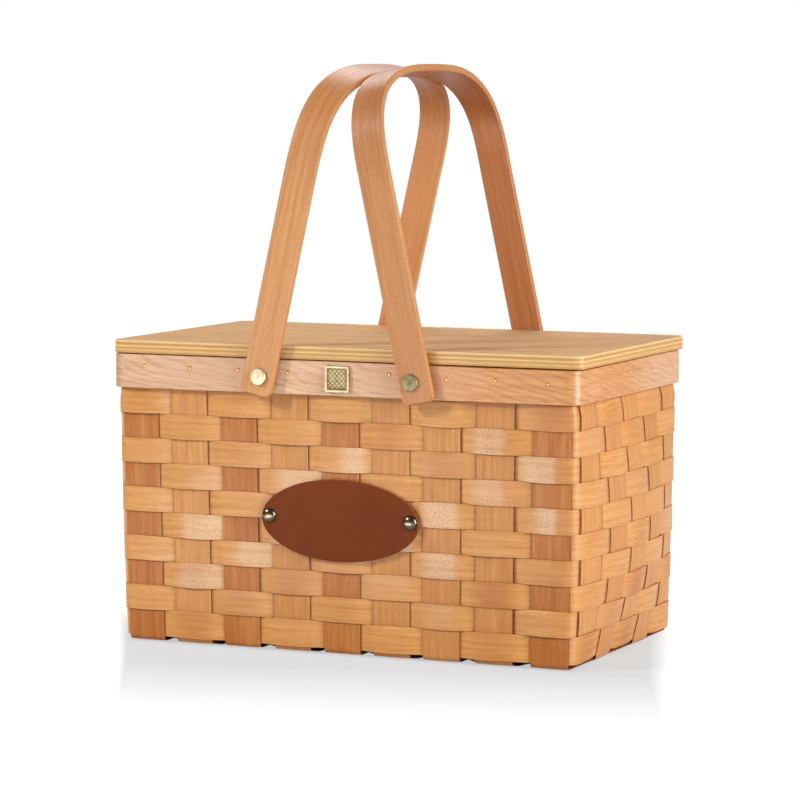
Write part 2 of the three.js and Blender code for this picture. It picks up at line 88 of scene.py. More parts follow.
def node(
    tree: Tree,
    kind: str,
    inputs: dict[str | int, Feed] | None = None,
    stops: Sequence[tuple[float, str]] = (),
    **settings: object,
) -> bpy.types.Node:
    """Adds a shader node.

    Args:
        tree: The material's or world's nodes.
        kind: The node's type without its common prefix.
        inputs: A number, a vector or a hex colour for a socket, or the output socket that feeds it.
        stops: Places and hex colours of a colour ramp.
        settings: The node's own properties.

    Returns:
        The new node.
    """
    made = tree.nodes.new("ShaderNode" + kind)
    for name, value in settings.items():
        setattr(made, name, value)
    for key, value in (inputs or {}).items():
        if isinstance(value, Socket):
            tree.links.new(value, made.inputs[key])
        else:
            made.inputs[key].default_value = linear(value) if isinstance(value, str) else value
    for place, (position, colour) in enumerate(stops):
        elements = made.color_ramp.elements
        element = elements[place] if place < len(elements) else elements.new(position)
        element.position = position
        element.color = linear(colour)
    return made


def maths(tree: Tree, operation: str, *values: Feed, clamp: bool = False) -> Socket:
    """Adds one step of arithmetic, held between 0 and 1 if it is clamped."""
    return node(tree, "Math", dict(enumerate(values)), operation=operation, use_clamp=clamp).outputs[0]


def remap(
    tree: Tree,
    value: Feed,
    source: tuple[Feed, Feed] = (0.0, 1.0),
    target: tuple[Feed, Feed] = (0.0, 1.0),
    smooth: bool = False,
) -> Socket:
    """Maps one range of values onto another, held at both ends.

    Args:
        tree: The material's or world's nodes.
        value: What is mapped.
        source: Where the range of the value begins and ends.
        target: What these two become.
        smooth: Whether the way between them is eased.

    Returns:
        The mapped value.
    """
    ends = dict(zip(("From Min", "From Max", "To Min", "To Max"), (*source, *target)))
    kind = "SMOOTHSTEP" if smooth else "LINEAR"
    return node(tree, "MapRange", {"Value": value, **ends}, interpolation_type=kind).outputs[0]


def mixed(tree: Tree, share: Feed, first: Feed, second: Feed, blend: str = "MIX") -> Socket:
    """Mixes a share of the second colour into the first, or multiplies the first by it."""
    inputs = {"Factor": share, 6: first, 7: second}
    return node(tree, "Mix", inputs, data_type="RGBA", blend_type=blend).outputs[2]


def noise(
    tree: Tree,
    place: Socket,
    size: float | tuple[float, float, float],
    detail: float,
    roughness: float = 0.5,
) -> Socket:
    """Adds cloudy noise.

    Args:
        tree: The material's nodes.
        place: Coordinates in metres.
        size: Size of the clouds, the same all ways or one along each axis.
        detail: How many finer clouds are laid over them.
        roughness: How strong the finer clouds are.

    Returns:
        A value round 0.5.
    """
    scale = 1.0
    if isinstance(size, tuple):
        squeeze = tuple(1 / (length * MM) for length in size)
        place = node(tree, "Mapping", {"Vector": place, "Scale": squeeze}).outputs[0]
    else:
        scale = 1 / (size * MM)
    inputs = {"Vector": place, "Scale": scale, "Detail": detail, "Roughness": roughness}
    return node(tree, "TexNoise", inputs).outputs["Fac"]


def bump(tree: Tree, height: Socket, distance: float, strength: float) -> Socket:
    """Adds a relief of a given height in millimetres."""
    inputs = {"Height": height, "Distance": distance * MM, "Strength": strength}
    return node(tree, "Bump", inputs).outputs[0]


def attribute(tree: Tree, name: str) -> Socket:
    """Reads one of the mesh's own values."""
    return node(tree, "Attribute", attribute_name=name).outputs["Fac"]


def object_place(tree: Tree) -> Socket:
    """Reads the place on the object, in metres."""
    return node(tree, "TexCoord").outputs["Object"]


def around(middle: float, spread: Pair) -> Pair:
    """Gives the ends of a range from how far it goes below and above its middle."""
    return middle - spread[0], middle + spread[1]


def new_material(name: str) -> tuple[bpy.types.Material, Tree]:
    """Makes an empty node material of the given name, and gives it with its nodes."""
    material = bpy.data.materials.new(name)
    material.use_nodes = True
    material.node_tree.nodes.clear()
    return material, material.node_tree


@dataclass(frozen=True)
class Finish:
    """A material that is drawn from its own fields.

    Attributes:
        name: The material's name.
    """

    name: str

    def inputs(self, tree: Tree) -> dict[str, Feed]:
        """Draws the patterns, and gives what feeds each socket of the surface."""
        raise NotImplementedError

    def shade(self) -> bpy.types.Material:
        """Builds the material."""
        material, tree = new_material(self.name)
        surface = node(tree, "BsdfPrincipled", self.inputs(tree))
        node(tree, "OutputMaterial", {"Surface": surface.outputs[0]})
        return material


class Lay(Enum):
    """What a wood's grain is laid along."""

    STRIP = "along the strip, by its own map"
    BOARD = "along X, straight through the board"


IOR = 1.5
# What every wood shares: stains, the colours of the painted edge shade and the painted sheen,
# the values between which a pattern comes in, and how strong it is.
PORE_STAIN = "#a8805f"
# Edge darkening colour: partly stain at cut edges, partly painted shade in slots and under edges.
EDGE_STAIN_AND_SHADE = "#9a6a44"
# Colour of the painted sheen: a dotted white highlight mixed into the weavers' colour.
PAINTED_SHEEN = "#eed8b8"
STREAKS = (0.3, 0.7)
LINES = (-0.3, 1.0)
PATCHES = (0.42, 0.68)
PATCH_SHARE = 0.6
PORES = (0.58, 0.7)
FIGURE = (0.35, 0.65)
DOTS = (0.62, 0.38)
DOT_LEAST = 0.16
PAINTED_SHEEN_SWING = 0.9
PAINTED_SHEEN_ENDS = (0.9, 1.55)
LACQUER = (0.38, 0.58)
LACQUER_LOSS = 3.0
# For each noise: whose size it takes, how many times that along and across, and its detail.
NOISES = {
    "fibre": ("fibre", 1.0, 1.0, 4.0),
    "band": ("band", 1.0, 1.0, 3.0),
    "figure": ("figure", 1.0, 1.0, 2.0),
    "patch": ("band", 1.3, 7.0, 2.0),
    "pore": ("fibre", 0.2, 0.5, 2.0),
    "speck": ("fibre", 0.1, 1.0, 2.0),
}


@dataclass(frozen=True)
class Wood(Finish):
    """Splint, bentwood or ply under satin lacquer.

    Fine fibres and darker growth lines run along the piece, short pores break the surface, and the
    lacquer gives a soft white sheen that specks break up. Where the shine is strongest a dotted white
    painted sheen is mixed into the colour. Edges are darkened, partly by stain at cut edges and partly
    by painted shade.

    Attributes:
        pale: Colour of the early wood.
        deep: Colour of the late wood and the fibres.
        flush: Colour of the slow patches.
        aged: What a piece whose tone is 1 is stained by.
        fibre: Length and width of a fibre streak.
        band: Length and width of a broad streak.
        figure: Length and width of the slow drift that bends the growth lines.
        ring: Spacing of the growth lines.
        swing: How many spacings the figure bends the lines by.
        slant: How far the lines climb across the piece for each length along it.
        shares: How much of the deep colour the fibres, the broad streaks and the lines carry.
        pore_share: How dark the pores are.
        roughness: Middle roughness of the lacquered fibres.
        spread: How far the roughness goes below and above that.
        specular: How much the wood shines under the lacquer.
        sheen: Weight of the lacquer coat.
        gloss: Roughness of the lacquer coat.
        relief: Height of the fibres.
        painted_sheen: How much of the wood the dotted painted sheen hides where the shine is strongest.
        uptake: How unevenly the stain of an aged piece has soaked in.
        lay: What the grain follows.
    """

    pale: str
    deep: str
    flush: str
    aged: str = "#dabaa8"
    fibre: Pair = (24.0, 0.9)
    band: Pair = (70.0, 4.0)
    figure: Pair = (90.0, 9.0)
    ring: float = 4.0
    swing: float = 2.0
    slant: float = 0.0
    shares: tuple[float, float, float] = (0.5, 0.4, 0.2)
    pore_share: float = 0.3
    roughness: float = 0.45
    spread: Pair = (0.1, 0.12)
    specular: float = 0.15
    sheen: float = 1.0
    gloss: float = 0.31
    relief: float = 0.018
    painted_sheen: float = 0.0
    uptake: float = 0.0
    lay: Lay = Lay.STRIP

    def lines(self, tree: Tree, place: Socket, figure: Socket) -> Socket:
        """Draws the growth lines: the sine of the spacings across, bent by the figure."""
        at = node(tree, "SeparateXYZ", {"Vector": place}).outputs
        across = maths(tree, "MULTIPLY_ADD", at["X"], self.slant, at["Y"])
        count = maths(tree, "MULTIPLY", across, 1 / (self.ring * MM))
        bent = maths(tree, "MULTIPLY_ADD", figure, self.swing, count)
        return maths(tree, "SINE", maths(tree, "MULTIPLY", bent, ROUND))

    def inputs(self, tree: Tree) -> dict[str, Feed]:
        """Draws streaks, lines, patches, stains, painted edge shade and painted sheen, and breaks up the
        lacquer.
        """
        if self.lay is Lay.STRIP:
            place = node(tree, "UVMap", uv_map=GRAIN).outputs["UV"]
        else:
            place = object_place(tree)
        seen = {}
        for key, (source, longer, wider, detail) in NOISES.items():
            length, width = getattr(self, source)
            size = (length * longer, width * wider, width * wider)
            seen[key] = noise(tree, place, size, detail, roughness=0.6)
        lines = self.lines(tree, place, seen["figure"])
        layers = ((seen["fibre"], STREAKS), (seen["band"], STREAKS), (lines, LINES))
        share = 0.0
        for (source, ends), weight in zip(layers, self.shares):
            layer = remap(tree, source, ends, (0.0, weight), smooth=True)
            share = maths(tree, "ADD", layer, share, clamp=True)
        colour = mixed(tree, share, self.pale, self.deep)
        patches = remap(tree, seen["patch"], PATCHES, (0.0, PATCH_SHARE), smooth=True)
        colour = mixed(tree, patches, colour, self.flush)
        soaked = remap(tree, seen["figure"], FIGURE, (1 - self.uptake, 1 + self.uptake))
        aged = maths(tree, "MULTIPLY", attribute(tree, TONE), soaked, clamp=True)
        pores = remap(tree, seen["pore"], PORES, (0.0, self.pore_share))
        # Stain and painted shade: darker cut edges, and painted shade under edges and in slots.
        soil = attribute(tree, STAIN_AND_SHADE)
        for amount, darkening in ((aged, self.aged), (pores, PORE_STAIN), (soil, EDGE_STAIN_AND_SHADE)):
            colour = mixed(tree, amount, colour, darkening, "MULTIPLY")
        shine = attribute(tree, SHINE)
        # Painted sheen: a dotted white highlight mixed into the colour where the shine is strong.
        if self.painted_sheen:
            dots = remap(tree, seen["speck"], DOTS, (DOT_LEAST, self.painted_sheen))
            patchy = maths(tree, "MULTIPLY_ADD", seen["figure"], PAINTED_SHEEN_SWING, shine)
            colour = mixed(tree, remap(tree, patchy, PAINTED_SHEEN_ENDS, (0.0, dots), smooth=True), colour, PAINTED_SHEEN)
        lacquer = remap(tree, seen["speck"], LACQUER, (self.sheen, 0.0))
        worn = maths(tree, "MULTIPLY", soil, LACQUER_LOSS)
        coat = maths(tree, "MULTIPLY", maths(tree, "SUBTRACT", lacquer, worn, clamp=True), shine)
        normal = bump(tree, maths(tree, "SUBTRACT", seen["fibre"], pores), self.relief, strength=0.8)
        return {
            "Base Color": colour,
            "Roughness": remap(tree, seen["fibre"], STREAKS, around(self.roughness, self.spread)),
            "IOR": IOR, "Specular IOR Level": self.specular,
            "Coat Weight": coat, "Coat Roughness": self.gloss, "Normal": normal, "Coat Normal": normal,
        }


@dataclass(frozen=True)
class PlyEdge(Finish):
    """Cut edge of birch-faced ply: level bands of pale and brown plies, end grain a little rough.

    Attributes:
        bottom: Height of the board's underside.
        thickness: Thickness of the board.
        bands: Share of the thickness and colour where each ply starts.
        grain: Size of the end grain along each axis.
        wander: How far a ply strays up and down.
        fleck: Colour of the flecks in the end grain.
        fleck_ends: Values of the grain between which a fleck comes in.
        fleck_share: How strong the flecks are.
        roughness: Roughness of the cut edge.
        specular: How much the edge shines.
    """

    bottom: float
    thickness: float
    bands: tuple[tuple[float, str], ...]
    grain: tuple[float, float, float] = (12.0, 12.0, 0.6)
    wander: float = 0.3
    fleck: str = "#a8713c"
    fleck_ends: Pair = (0.35, 0.7)
    fleck_share: float = 0.22
    roughness: float = 0.5
    specular: float = 0.25

    def inputs(self, tree: Tree) -> dict[str, Feed]:
        """Draws the plies by height, and flecks them."""
        place = object_place(tree)
        level = node(tree, "SeparateXYZ", {"Vector": place}).outputs["Z"]
        grain = noise(tree, place, self.grain, detail=3.0)
        stray = self.wander * MM
        strayed = maths(tree, "ADD", level, remap(tree, grain, target=(-stray, stray)))
        low = self.bottom * MM
        share = remap(tree, strayed, (low, low + self.thickness * MM))
        ply = node(tree, "ValToRGB", {"Fac": share}, self.bands).outputs["Color"]
        flecks = remap(tree, grain, self.fleck_ends, (0.0, self.fleck_share))
        return {
            "Base Color": mixed(tree, flecks, ply, self.fleck), "Roughness": self.roughness,
            "IOR": IOR, "Specular IOR Level": self.specular,
            "Normal": bump(tree, grain, distance=0.1, strength=0.5),
        }


@dataclass(frozen=True)
class Metal(Finish):
    """Pressed brass or nickel, tumbled and a little tarnished: soft reflections, dark in the hollows.

    Attributes:
        bright: Colour where it is rubbed.
        tarnish: Colour where it is dull and in hollows, and of painted shadow rings, whose tone is 1.
        grit: Size of the tumbled grit.
        blotch: Size of the dull blotches.
        blotch_ends: Values of the noise between which a blotch comes in.
        blotch_share: How dull the blotches are.
        roughness: Middle roughness.
        spread: How far the roughness goes below and above that.
        lattice: Spacing of crossed grooves that are stamped where the tone is above 0.3, or 0 for none.
        groove: Depth of the grooves.
        groove_ends: Values of the cosine across a groove at its edge and where it is deepest.
        groove_share: How dull the grooves are.
        field_ends: Tones between which the grooves come in.
    """

    bright: str
    tarnish: str
    grit: float = 0.9
    blotch: float = 4.5
    blotch_ends: Pair = (0.45, 0.75)
    blotch_share: float = 0.35
    roughness: float = 0.34
    spread: Pair = (0.08, 0.12)
    lattice: float = 0.0
    groove: float = 0.3
    groove_ends: Pair = (0.55, 0.95)
    groove_share: float = 0.55
    field_ends: Pair = (0.2, 0.3)

    def grooves(self, tree: Tree, place: Socket, tone: Socket) -> Socket:
        """Draws the crossed grooves: deep where x + z or x - z is near a whole number of spacings.

        Args:
            tree: The material's nodes.
            place: Object coordinates.
            tone: The points' tone, which says where the field lies.

        Returns:
            How deep and dull the grooves are at each place.
        """
        at = node(tree, "SeparateXYZ", {"Vector": place}).outputs
        deep = 0.0
        for sign in (1.0, -1.0):
            slant = maths(tree, "MULTIPLY_ADD", at["X"], sign, at["Z"])
            turn = maths(tree, "MULTIPLY", slant, ROUND / (self.lattice * MM))
            wave = maths(tree, "COSINE", turn)
            line = remap(tree, wave, self.groove_ends, (0.0, self.groove_share))
            deep = maths(tree, "MAXIMUM", line, deep)
        return maths(tree, "MULTIPLY", deep, remap(tree, tone, self.field_ends))

    def inputs(self, tree: Tree) -> dict[str, Feed]:
        """Draws grit and tarnish, and the grooves if there are any."""
        place = object_place(tree)
        fine = noise(tree, place, self.grit, detail=3.0, roughness=0.6)
        broad = noise(tree, place, self.blotch, detail=2.0)
        tone = attribute(tree, TONE)
        blotches = remap(tree, broad, self.blotch_ends, (0.0, self.blotch_share))
        dull = maths(tree, "ADD", tone, blotches, clamp=True)
        normal = bump(tree, fine, distance=0.03, strength=0.6)
        if self.lattice:
            grooves = self.grooves(tree, place, tone)
            dull = maths(tree, "ADD", dull, grooves, clamp=True)
            pressed = {"Height": grooves, "Distance": self.groove * MM, "Normal": normal}
            normal = node(tree, "Bump", pressed, invert=True).outputs[0]
        return {
            "Base Color": mixed(tree, dull, self.bright, self.tarnish), "Metallic": 1.0,
            "Roughness": remap(tree, fine, target=around(self.roughness, self.spread)), "Normal": normal,
        }


@dataclass(frozen=True)
class Leather(Finish):
    """Vegetable-tanned saddle leather, dyed through and waxed: pebbled, mottled, with a paler cut edge.

    Attributes:
        face: Colour of the waxed face.
        shadow: Colour of the darker mottling.
        edge: Colour of the cut edge, where the tone is 1.
        pebble: Size of the pebbled grain.
        mottle: Size of the mottling.
        mottle_ends: Values of the noise between which the mottling comes in.
        mottle_share: How strong the mottling is.
        roughness: Middle roughness.
        spread: How far the roughness goes below and above that.
        specular: How much the wax shines.
    """

    face: str
    shadow: str
    edge: str
    pebble: float = 0.9
    mottle: float = 14.0
    mottle_ends: Pair = (0.35, 0.7)
    mottle_share: float = 0.6
    roughness: float = 0.5
    spread: Pair = (0.08, 0.1)
    specular: float = 0.05

    def inputs(self, tree: Tree) -> dict[str, Feed]:
        """Draws the mottling, the cut edge and the pebbles."""
        place = object_place(tree)
        cells = {"Vector": place, "Scale": 1 / (self.pebble * MM), "Randomness": 1.0}
        pebbles = node(tree, "TexVoronoi", cells, feature="SMOOTH_F1").outputs["Distance"]
        mottle = noise(tree, place, self.mottle, detail=5.0, roughness=0.65)
        share = remap(tree, mottle, self.mottle_ends, (0.0, self.mottle_share))
        face = mixed(tree, share, self.face, self.shadow)
        return {
            "Base Color": mixed(tree, attribute(tree, TONE), face, self.edge),
            "Roughness": remap(tree, mottle, target=around(self.roughness, self.spread)),
            "IOR": IOR, "Specular IOR Level": self.specular,
            "Normal": bump(tree, pebbles, distance=0.08, strength=0.45),
        }


WEAVER_SPLINT = Wood(
    "shaved ash splint, golden satin lacquer", "#e9ae6a", "#cf8844", "#da9c66", aged="#dcbc9e",
    fibre=(15.0, 0.8), ring=5.0, shares=(0.42, 0.4, 0.2), sheen=0.8, painted_sheen=0.5,
)
STAKE_SPLINT = Wood(
    "shaved ash splint, stained satin lacquer", "#e6aa68", "#c98242", "#d2925a", aged="#dabb9e",
    fibre=(26.0, 0.9), ring=4.5, shares=(0.45, 0.35, 0.15), sheen=0.12, gloss=0.34, uptake=0.3,
)
RIM_WOOD = Wood(
    "steam-bent ash, satin lacquer", "#f2ceac", "#c68e64", "#e0b08c", aged="#f7d8ae",
    fibre=(30.0, 0.9), figure=(90.0, 20.0), ring=4.6, swing=4.0, slant=0.22, shares=(0.3, 0.4, 0.26),
    sheen=0.5, gloss=0.3,
)
HANDLE_WOOD = Wood(
    "steam-bent beech, satin lacquer", "#e6ac74", "#cb864c", "#da9c66", aged="#c2a493",
    fibre=(36.0, 0.9), band=(110.0, 3.5), ring=5.0, shares=(0.42, 0.45, 0.1), sheen=0.4, gloss=0.36,
    relief=0.03,
)
LID_FACE = Wood(
    "sanded birch ply face, matt oil", "#d8ae80", "#bb8a58", "#d3a268",
    fibre=(50.0, 5.0), band=(160.0, 14.0), figure=(160.0, 30.0), ring=18.0, swing=1.5,
    shares=(0.4, 0.4, 0.22), roughness=0.75, sheen=0.0, lay=Lay.BOARD,
)
PLY_BANDS = (
    (0.0, "#cf9850"), (0.15, "#d29d56"), (0.2, "#e6ba7c"), (0.34, "#e0b06c"), (0.4, "#d09850"),
    (0.47, "#d6a05a"), (0.52, "#eecb90"), (0.6, "#ecc88a"), (0.66, "#d49c56"), (0.8, "#d29a56"),
    (0.86, "#eecc92"),
)
BRASS = Metal("tumbled brass", "#cdb27c", "#7a6238")
NAIL_BRASS = Metal("drawn brass wire, cut and driven", "#c9a062", "#8a5c34", roughness=0.45)
BADGE_BRASS = Metal("stamped antique brass", "#b9a987", "#6a5838", roughness=0.58, lattice=3.3)
RIVET_BRASS = Metal("pressed pale brass", "#c6b89a", "#6a6044", roughness=0.6)
AGED_NICKEL = Metal("aged nickel plate", "#6e6450", "#332c23", roughness=0.22)
SADDLE_LEATHER = Leather("waxed saddle leather", "#7c3b1a", "#703416", "#9c5a34")


@dataclass
class Grid:
    """A surface on a grid whose columns close into a ring.

    Attributes:
        points: Places, rows by columns by three.
        grain: Lengths along and across the grain for the corners of the faces.
        ring: Whether the last row joins the first.
        tone: Shade of the points, or one shade for all.
        soil: Stain and painted shade at the points.
        finish: Which of the piece's materials each row of faces has.
        shine: How much lacquer is left on the points, which also sets how much painted sheen they show.
    """

    points: np.ndarray
    grain: np.ndarray
    ring: bool = False
    tone: np.ndarray | float = 0.0
    soil: np.ndarray | float = 0.0
    finish: np.ndarray | int = 0
    shine: np.ndarray | float = 1.0

    def quads(self) -> np.ndarray:
        """Numbers the four points of every face: a point, the next row's, and both one column on."""
        rows, columns = self.points.shape[:2]
        i = np.arange(rows if self.ring else rows - 1)[:, None]
        j = np.arange(columns)[None, :]
        below = (i + 1) % rows * columns
        after = (j + 1) % columns
        return np.stack([i * columns + j, below + j, below + after, i * columns + after], -1)

    def corners(self) -> np.ndarray:
        """Gives the grain lengths at the four corners of every face, in the order of quads."""
        g = self.grain
        return np.stack([g[:-1, :-1], g[1:, :-1], g[1:, 1:], g[:-1, 1:]], 2)


MERGE_DISTANCE = 1e-7
SHARP_ANGLE = math.radians(38)


def build_piece(
    name: str, body: str, grids: Sequence[Grid], replaced: Sequence[str] = ()
) -> bpy.types.Object:
    """Puts grids into one mesh object that rides on a body.

    Ends that were drawn in to a point or a line are merged there, so every shell is closed.

    Args:
        name: The piece's name.
        body: The body that it moves with.
        grids: Its surfaces.
        replaced: The nodes that it stands for.

    Returns:
        The new object.
    """
    starts = np.cumsum([0] + [g.points.shape[0] * g.points.shape[1] for g in grids])
    points = np.concatenate([g.points.reshape(-1, 3) for g in grids]) * MM
    quads = [g.quads() for g in grids]
    faces = np.concatenate([(q + s).reshape(-1, 4) for q, s in zip(quads, starts)])
    grain = np.concatenate([g.corners().reshape(-1, 2) for g in grids]) * MM
    finish = np.concatenate([np.broadcast_to(g.finish, q.shape[:2]).ravel() for g, q in zip(grids, quads)])
    mesh = bpy.data.meshes.new(name)
    mesh.vertices.add(len(points))
    mesh.vertices.foreach_set("co", points.astype(np.float32).ravel())
    mesh.loops.add(faces.size)
    mesh.loops.foreach_set("vertex_index", faces.astype(np.int32).ravel())
    mesh.polygons.add(len(faces))
    mesh.polygons.foreach_set("loop_start", np.arange(0, faces.size, 4, dtype=np.int32))
    mesh.polygons.foreach_set("material_index", finish.astype(np.int32))
    mesh.uv_layers.new(name=GRAIN).data.foreach_set("uv", grain.astype(np.float32).ravel())
    for key in (TONE, STAIN_AND_SHADE, SHINE):
        values = [np.broadcast_to(getattr(g, key), g.points.shape[:2]).ravel() for g in grids]
        shades = mesh.attributes.new(key, "FLOAT", "POINT")
        shades.data.foreach_set("value", np.concatenate(values).astype(np.float32))
    mesh.update(calc_edges=True)
    shell = bmesh.new()
    shell.from_mesh(mesh)
    bmesh.ops.remove_doubles(shell, verts=shell.verts[:], dist=MERGE_DISTANCE)
    bmesh.ops.recalc_face_normals(shell, faces=shell.faces[:])
    shell.to_mesh(mesh)
    shell.free()
    mesh.shade_smooth()
    mesh.set_sharp_from_angle(angle=SHARP_ANGLE)
    piece = bpy.data.objects.new(name, mesh)
    bpy.context.scene.collection.objects.link(piece)
    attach(piece, body)
    if replaced:
        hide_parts(*replaced)
    return piece


def ramp(value: np.ndarray, width: float) -> np.ndarray:
    """Goes straight from 0 at a value of 0 to 1 at the width, and stays there on both sides."""
    return np.clip(value / width, 0, 1)


def headings(u: np.ndarray, v: np.ndarray) -> np.ndarray:
    """Directions, of length 1, along a line of points in a plane."""
    step = np.stack([np.gradient(u), np.gradient(v)], -1)
    return step / np.linalg.norm(step, axis=1)[:, None]


def run_lengths(points: np.ndarray, closed: bool) -> np.ndarray:
    """Adds up the straight distances along points.

    Args:
        points: Places, in order.
        closed: Whether the way goes back to the first point.

    Returns:
        The length so far at each point, with the whole round last if closed.
    """
    line = np.concatenate([points, points[:1]]) if closed else points
    steps = np.linalg.norm(np.diff(line, axis=0), axis=1)
    return np.concatenate([[0.0], np.cumsum(steps)])


def strip_grain(points: np.ndarray, ring: bool = False, offset: float = 0.0) -> np.ndarray:
    """Lays the grain along a strip: length along its first column, and round its middle section.

    Args:
        points: The strip's grid.
        ring: Whether the strip is a closed ring.
        offset: Length that shifts the grain, so that no two pieces look alike.

    Returns:
        Lengths along and across for the corners of the faces.
    """
    along = run_lengths(points[:, 0], ring) + offset
    across = run_lengths(points[len(points) // 2], True)
    return np.stack(np.meshgrid(along, across, indexing="ij"), -1)


def strip_section(width: float, thickness: float, edge: float, per_side: int, per_edge: int) -> np.ndarray:
    """Outline of a flat strip: two faces joined at each side by two quarter circles.

    Args:
        width: Across the strip.
        thickness: Through the strip.
        edge: Radius that eases the edges.
        per_side: Points on each face between the edges, the outer ones close to them to keep it flat.
        per_edge: Points on each quarter circle.

    Returns:
        Places across, and places out, once round.
    """
    half, deep = width / 2 - edge, thickness / 2 - edge
    face = np.linspace(-half, half, per_side + 2)[1:-1]
    face[[0, -1]] = 0.6 * edge - half, half - 0.6 * edge
    turn = np.linspace(0, QUARTER, per_edge)
    far, near = half + edge * np.sin(turn), half + edge * np.cos(turn)
    high, low = deep + edge * np.cos(turn), deep + edge * np.sin(turn)
    level = np.full_like(face, thickness / 2)
    across = [face, far, near, -face, -far, -near]
    out = [level, high, -low, -level, -high, low]
    return np.stack([np.concatenate(across), np.concatenate(out)])


def rounded_loop(
    half_x: float, half_y: float, corner: float, runs: Sequence[int], bend: int
) -> tuple[np.ndarray, np.ndarray]:
    """A rounded rectangle: each side is a straight run and then a quarter circle.

    It starts at the left of the front and goes on round the right end, the back and the left end.

    Args:
        half_x: Half its length along X.
        half_y: Half its length along Y.
        corner: Radius of the corners.
        runs: Points on a side along X and on a side along Y.
        bend: Points on a corner.

    Returns:
        Its points and the directions out of it.
    """
    points, outs = [], []
    turn = np.linspace(0, QUARTER, bend, endpoint=False)
    for side, (c, s) in enumerate(TURNS):
        along, away = (half_x, half_y) if side % 2 == 0 else (half_y, half_x)
        run = np.linspace(corner - along, along - corner, runs[side % 2], endpoint=False)
        u = np.concatenate([run, along - corner + corner * np.sin(turn)])
        v = np.concatenate([np.full_like(run, away), away - corner + corner * np.cos(turn)])
        out_u = np.concatenate([np.zeros_like(run), np.sin(turn)])
        out_v = np.concatenate([np.ones_like(run), np.cos(turn)])
        points.append(np.stack([c * u + s * v, s * u - c * v], -1))
        outs.append(np.stack([c * out_u + s * out_v, s * out_u - c * out_v], -1))
    return np.concatenate(points), np.concatenate(outs)


def stacked_loops(
    half: Pair, corner: float, steps: Sequence[Pair], runs: Sequence[int], bend: int, least: float = 0.1
) -> tuple[np.ndarray, np.ndarray]:
    """Rounded rectangles, one above the other, closed at their middle at both ends.

    Args:
        half: Half the length and half the width.
        corner: Radius of the corners.
        steps: How far each loop is drawn in, and its height.
        runs: Points on the two kinds of side.
        bend: Points on a corner.
        least: Least radius of a corner that is drawn in.

    Returns:
        Flat places and heights, a row for each loop and for both middles.
    """
    loops = np.stack(
        [rounded_loop(half[0] - i, half[1] - i, max(corner - i, least), runs, bend)[0] for i, _ in steps]
    )
    loops = np.concatenate([loops[:1] * 0, loops, loops[-1:] * 0])
    heights = [height for _, height in steps]
    level = np.array([heights[0], *heights, heights[-1]])[:, None] * np.ones(loops.shape[:2])
    return loops, level


def lathe(
    profile: Sequence[Pair],
    origin: Sequence[float],
    axis: Sequence[float],
    steps: int,
    tone: Sequence[float] = (0.0,),
) -> Grid:
    """Turns a profile about an axis: point = origin + radius * turning direction + height * axis.

    Args:
        profile: Radius and height of each point.
        origin: Where height 0 lies on the axis.
        axis: Direction of growing height.
        steps: Points round.
        tone: Shade of each point of the profile, or one shade for all.

    Returns:
        The turned surface.
    """
    pole = np.array(Vector(axis).normalized())
    first = np.array(Vector(axis).orthogonal().normalized())
    second = np.cross(pole, first)
    angle = np.linspace(0, ROUND, steps, endpoint=False)
    round_way = np.cos(angle)[:, None] * first + np.sin(angle)[:, None] * second
    shape = np.array(profile, float)[:, None]
    points = np.array(origin, float) + shape[..., :1] * round_way + shape[..., 1:] * pole
    return Grid(points, strip_grain(points), tone=np.array(tone, float)[:, None])


def steepened(wave: np.ndarray, share: float = 0.52) -> np.ndarray:
    """Steepens a cosine into flats joined by steps: (15 x - 10 x^3 + 3 x^5) / 8, held at 1 and -1."""
    x = np.clip(wave / share, -1, 1)
    return (15 * x - 10 * x**3 + 3 * x**5) / 8


@dataclass(frozen=True)
class Basket:
    """Sizes of the woven body that several pieces share."""

    length: float = 345.0
    depth: float = 207.0
    rim_bottom: float = 177.5
    rim_height: float = 23.5
    rim_corner: float = 10.0
    wall_inset: float = 4.6
    wall_corner: float = 5.4
    lean: float = 3.2
    spread: float = 1.5
    spread_depth: float = 8.0
    bow: float = 10.0
    bow_turn: float = 1.08
    bow_power: float = 1.25
    front_slips: tuple[float, ...] = (-1.5, -1.7, -1.5, -0.5, 0, -0.5, -1, 0, 3)
    side_slips: tuple[float, ...] = (4, 5, 2, 1, 2)
    stake_width: float = 27.0
    weave_bottom: float = 6.0
    weave_top: float = 177.2
    rows: int = 10
    seed: int = 8

    @property
    def front_stakes(self) -> int:
        """Number of stakes along the front."""
        return len(self.front_slips)

    @property
    def side_stakes(self) -> int:
        """Number of stakes along an end."""
        return len(self.side_slips)

    @property
    def row_pitch(self) -> float:
        """Height from one woven row to the next."""
        return (self.weave_top - self.weave_bottom) / self.rows

    def wall_half(self, side: float, z: np.ndarray | float) -> np.ndarray | float:
        """Distance of the wall's middle from the centre: less its lean, and more by the ends' spread."""
        below = np.maximum(0, self.rim_bottom - z)
        spread = self.spread * np.minimum(below / self.spread_depth, 1) if side == self.length else 0
        return side / 2 - self.wall_inset + spread - self.lean * below / self.rim_bottom

    def swell(self, share: np.ndarray, z: np.ndarray) -> np.ndarray:
        """How much longer the basket is where its ends bulge.

        An end bulges by the bow times 1 - share^2 across it, and times the sine of bow_turn pi
        f^bow_power down it, f being the share of the height below the rim, so the base is drawn in.

        Args:
            share: Place across the end wall, from -1 to 1.
            z: Height.

        Returns:
            The factor for lengths along X.
        """
        down = np.clip(1 - z / self.rim_bottom, 0, 1)
        across = 1 - np.clip(share, -1, 1) ** 2
        bulge = np.sin(self.bow_turn * math.pi * down**self.bow_power)
        return 1 + 2 * self.bow / self.length * across * bulge

    def stake_reach(self, side: float, z: np.ndarray | float) -> np.ndarray | float:
        """Distance of the outermost stake's middle from the centre of its wall."""
        return self.wall_half(side, z) - self.wall_corner - self.stake_width / 2


SHAPE = Basket()


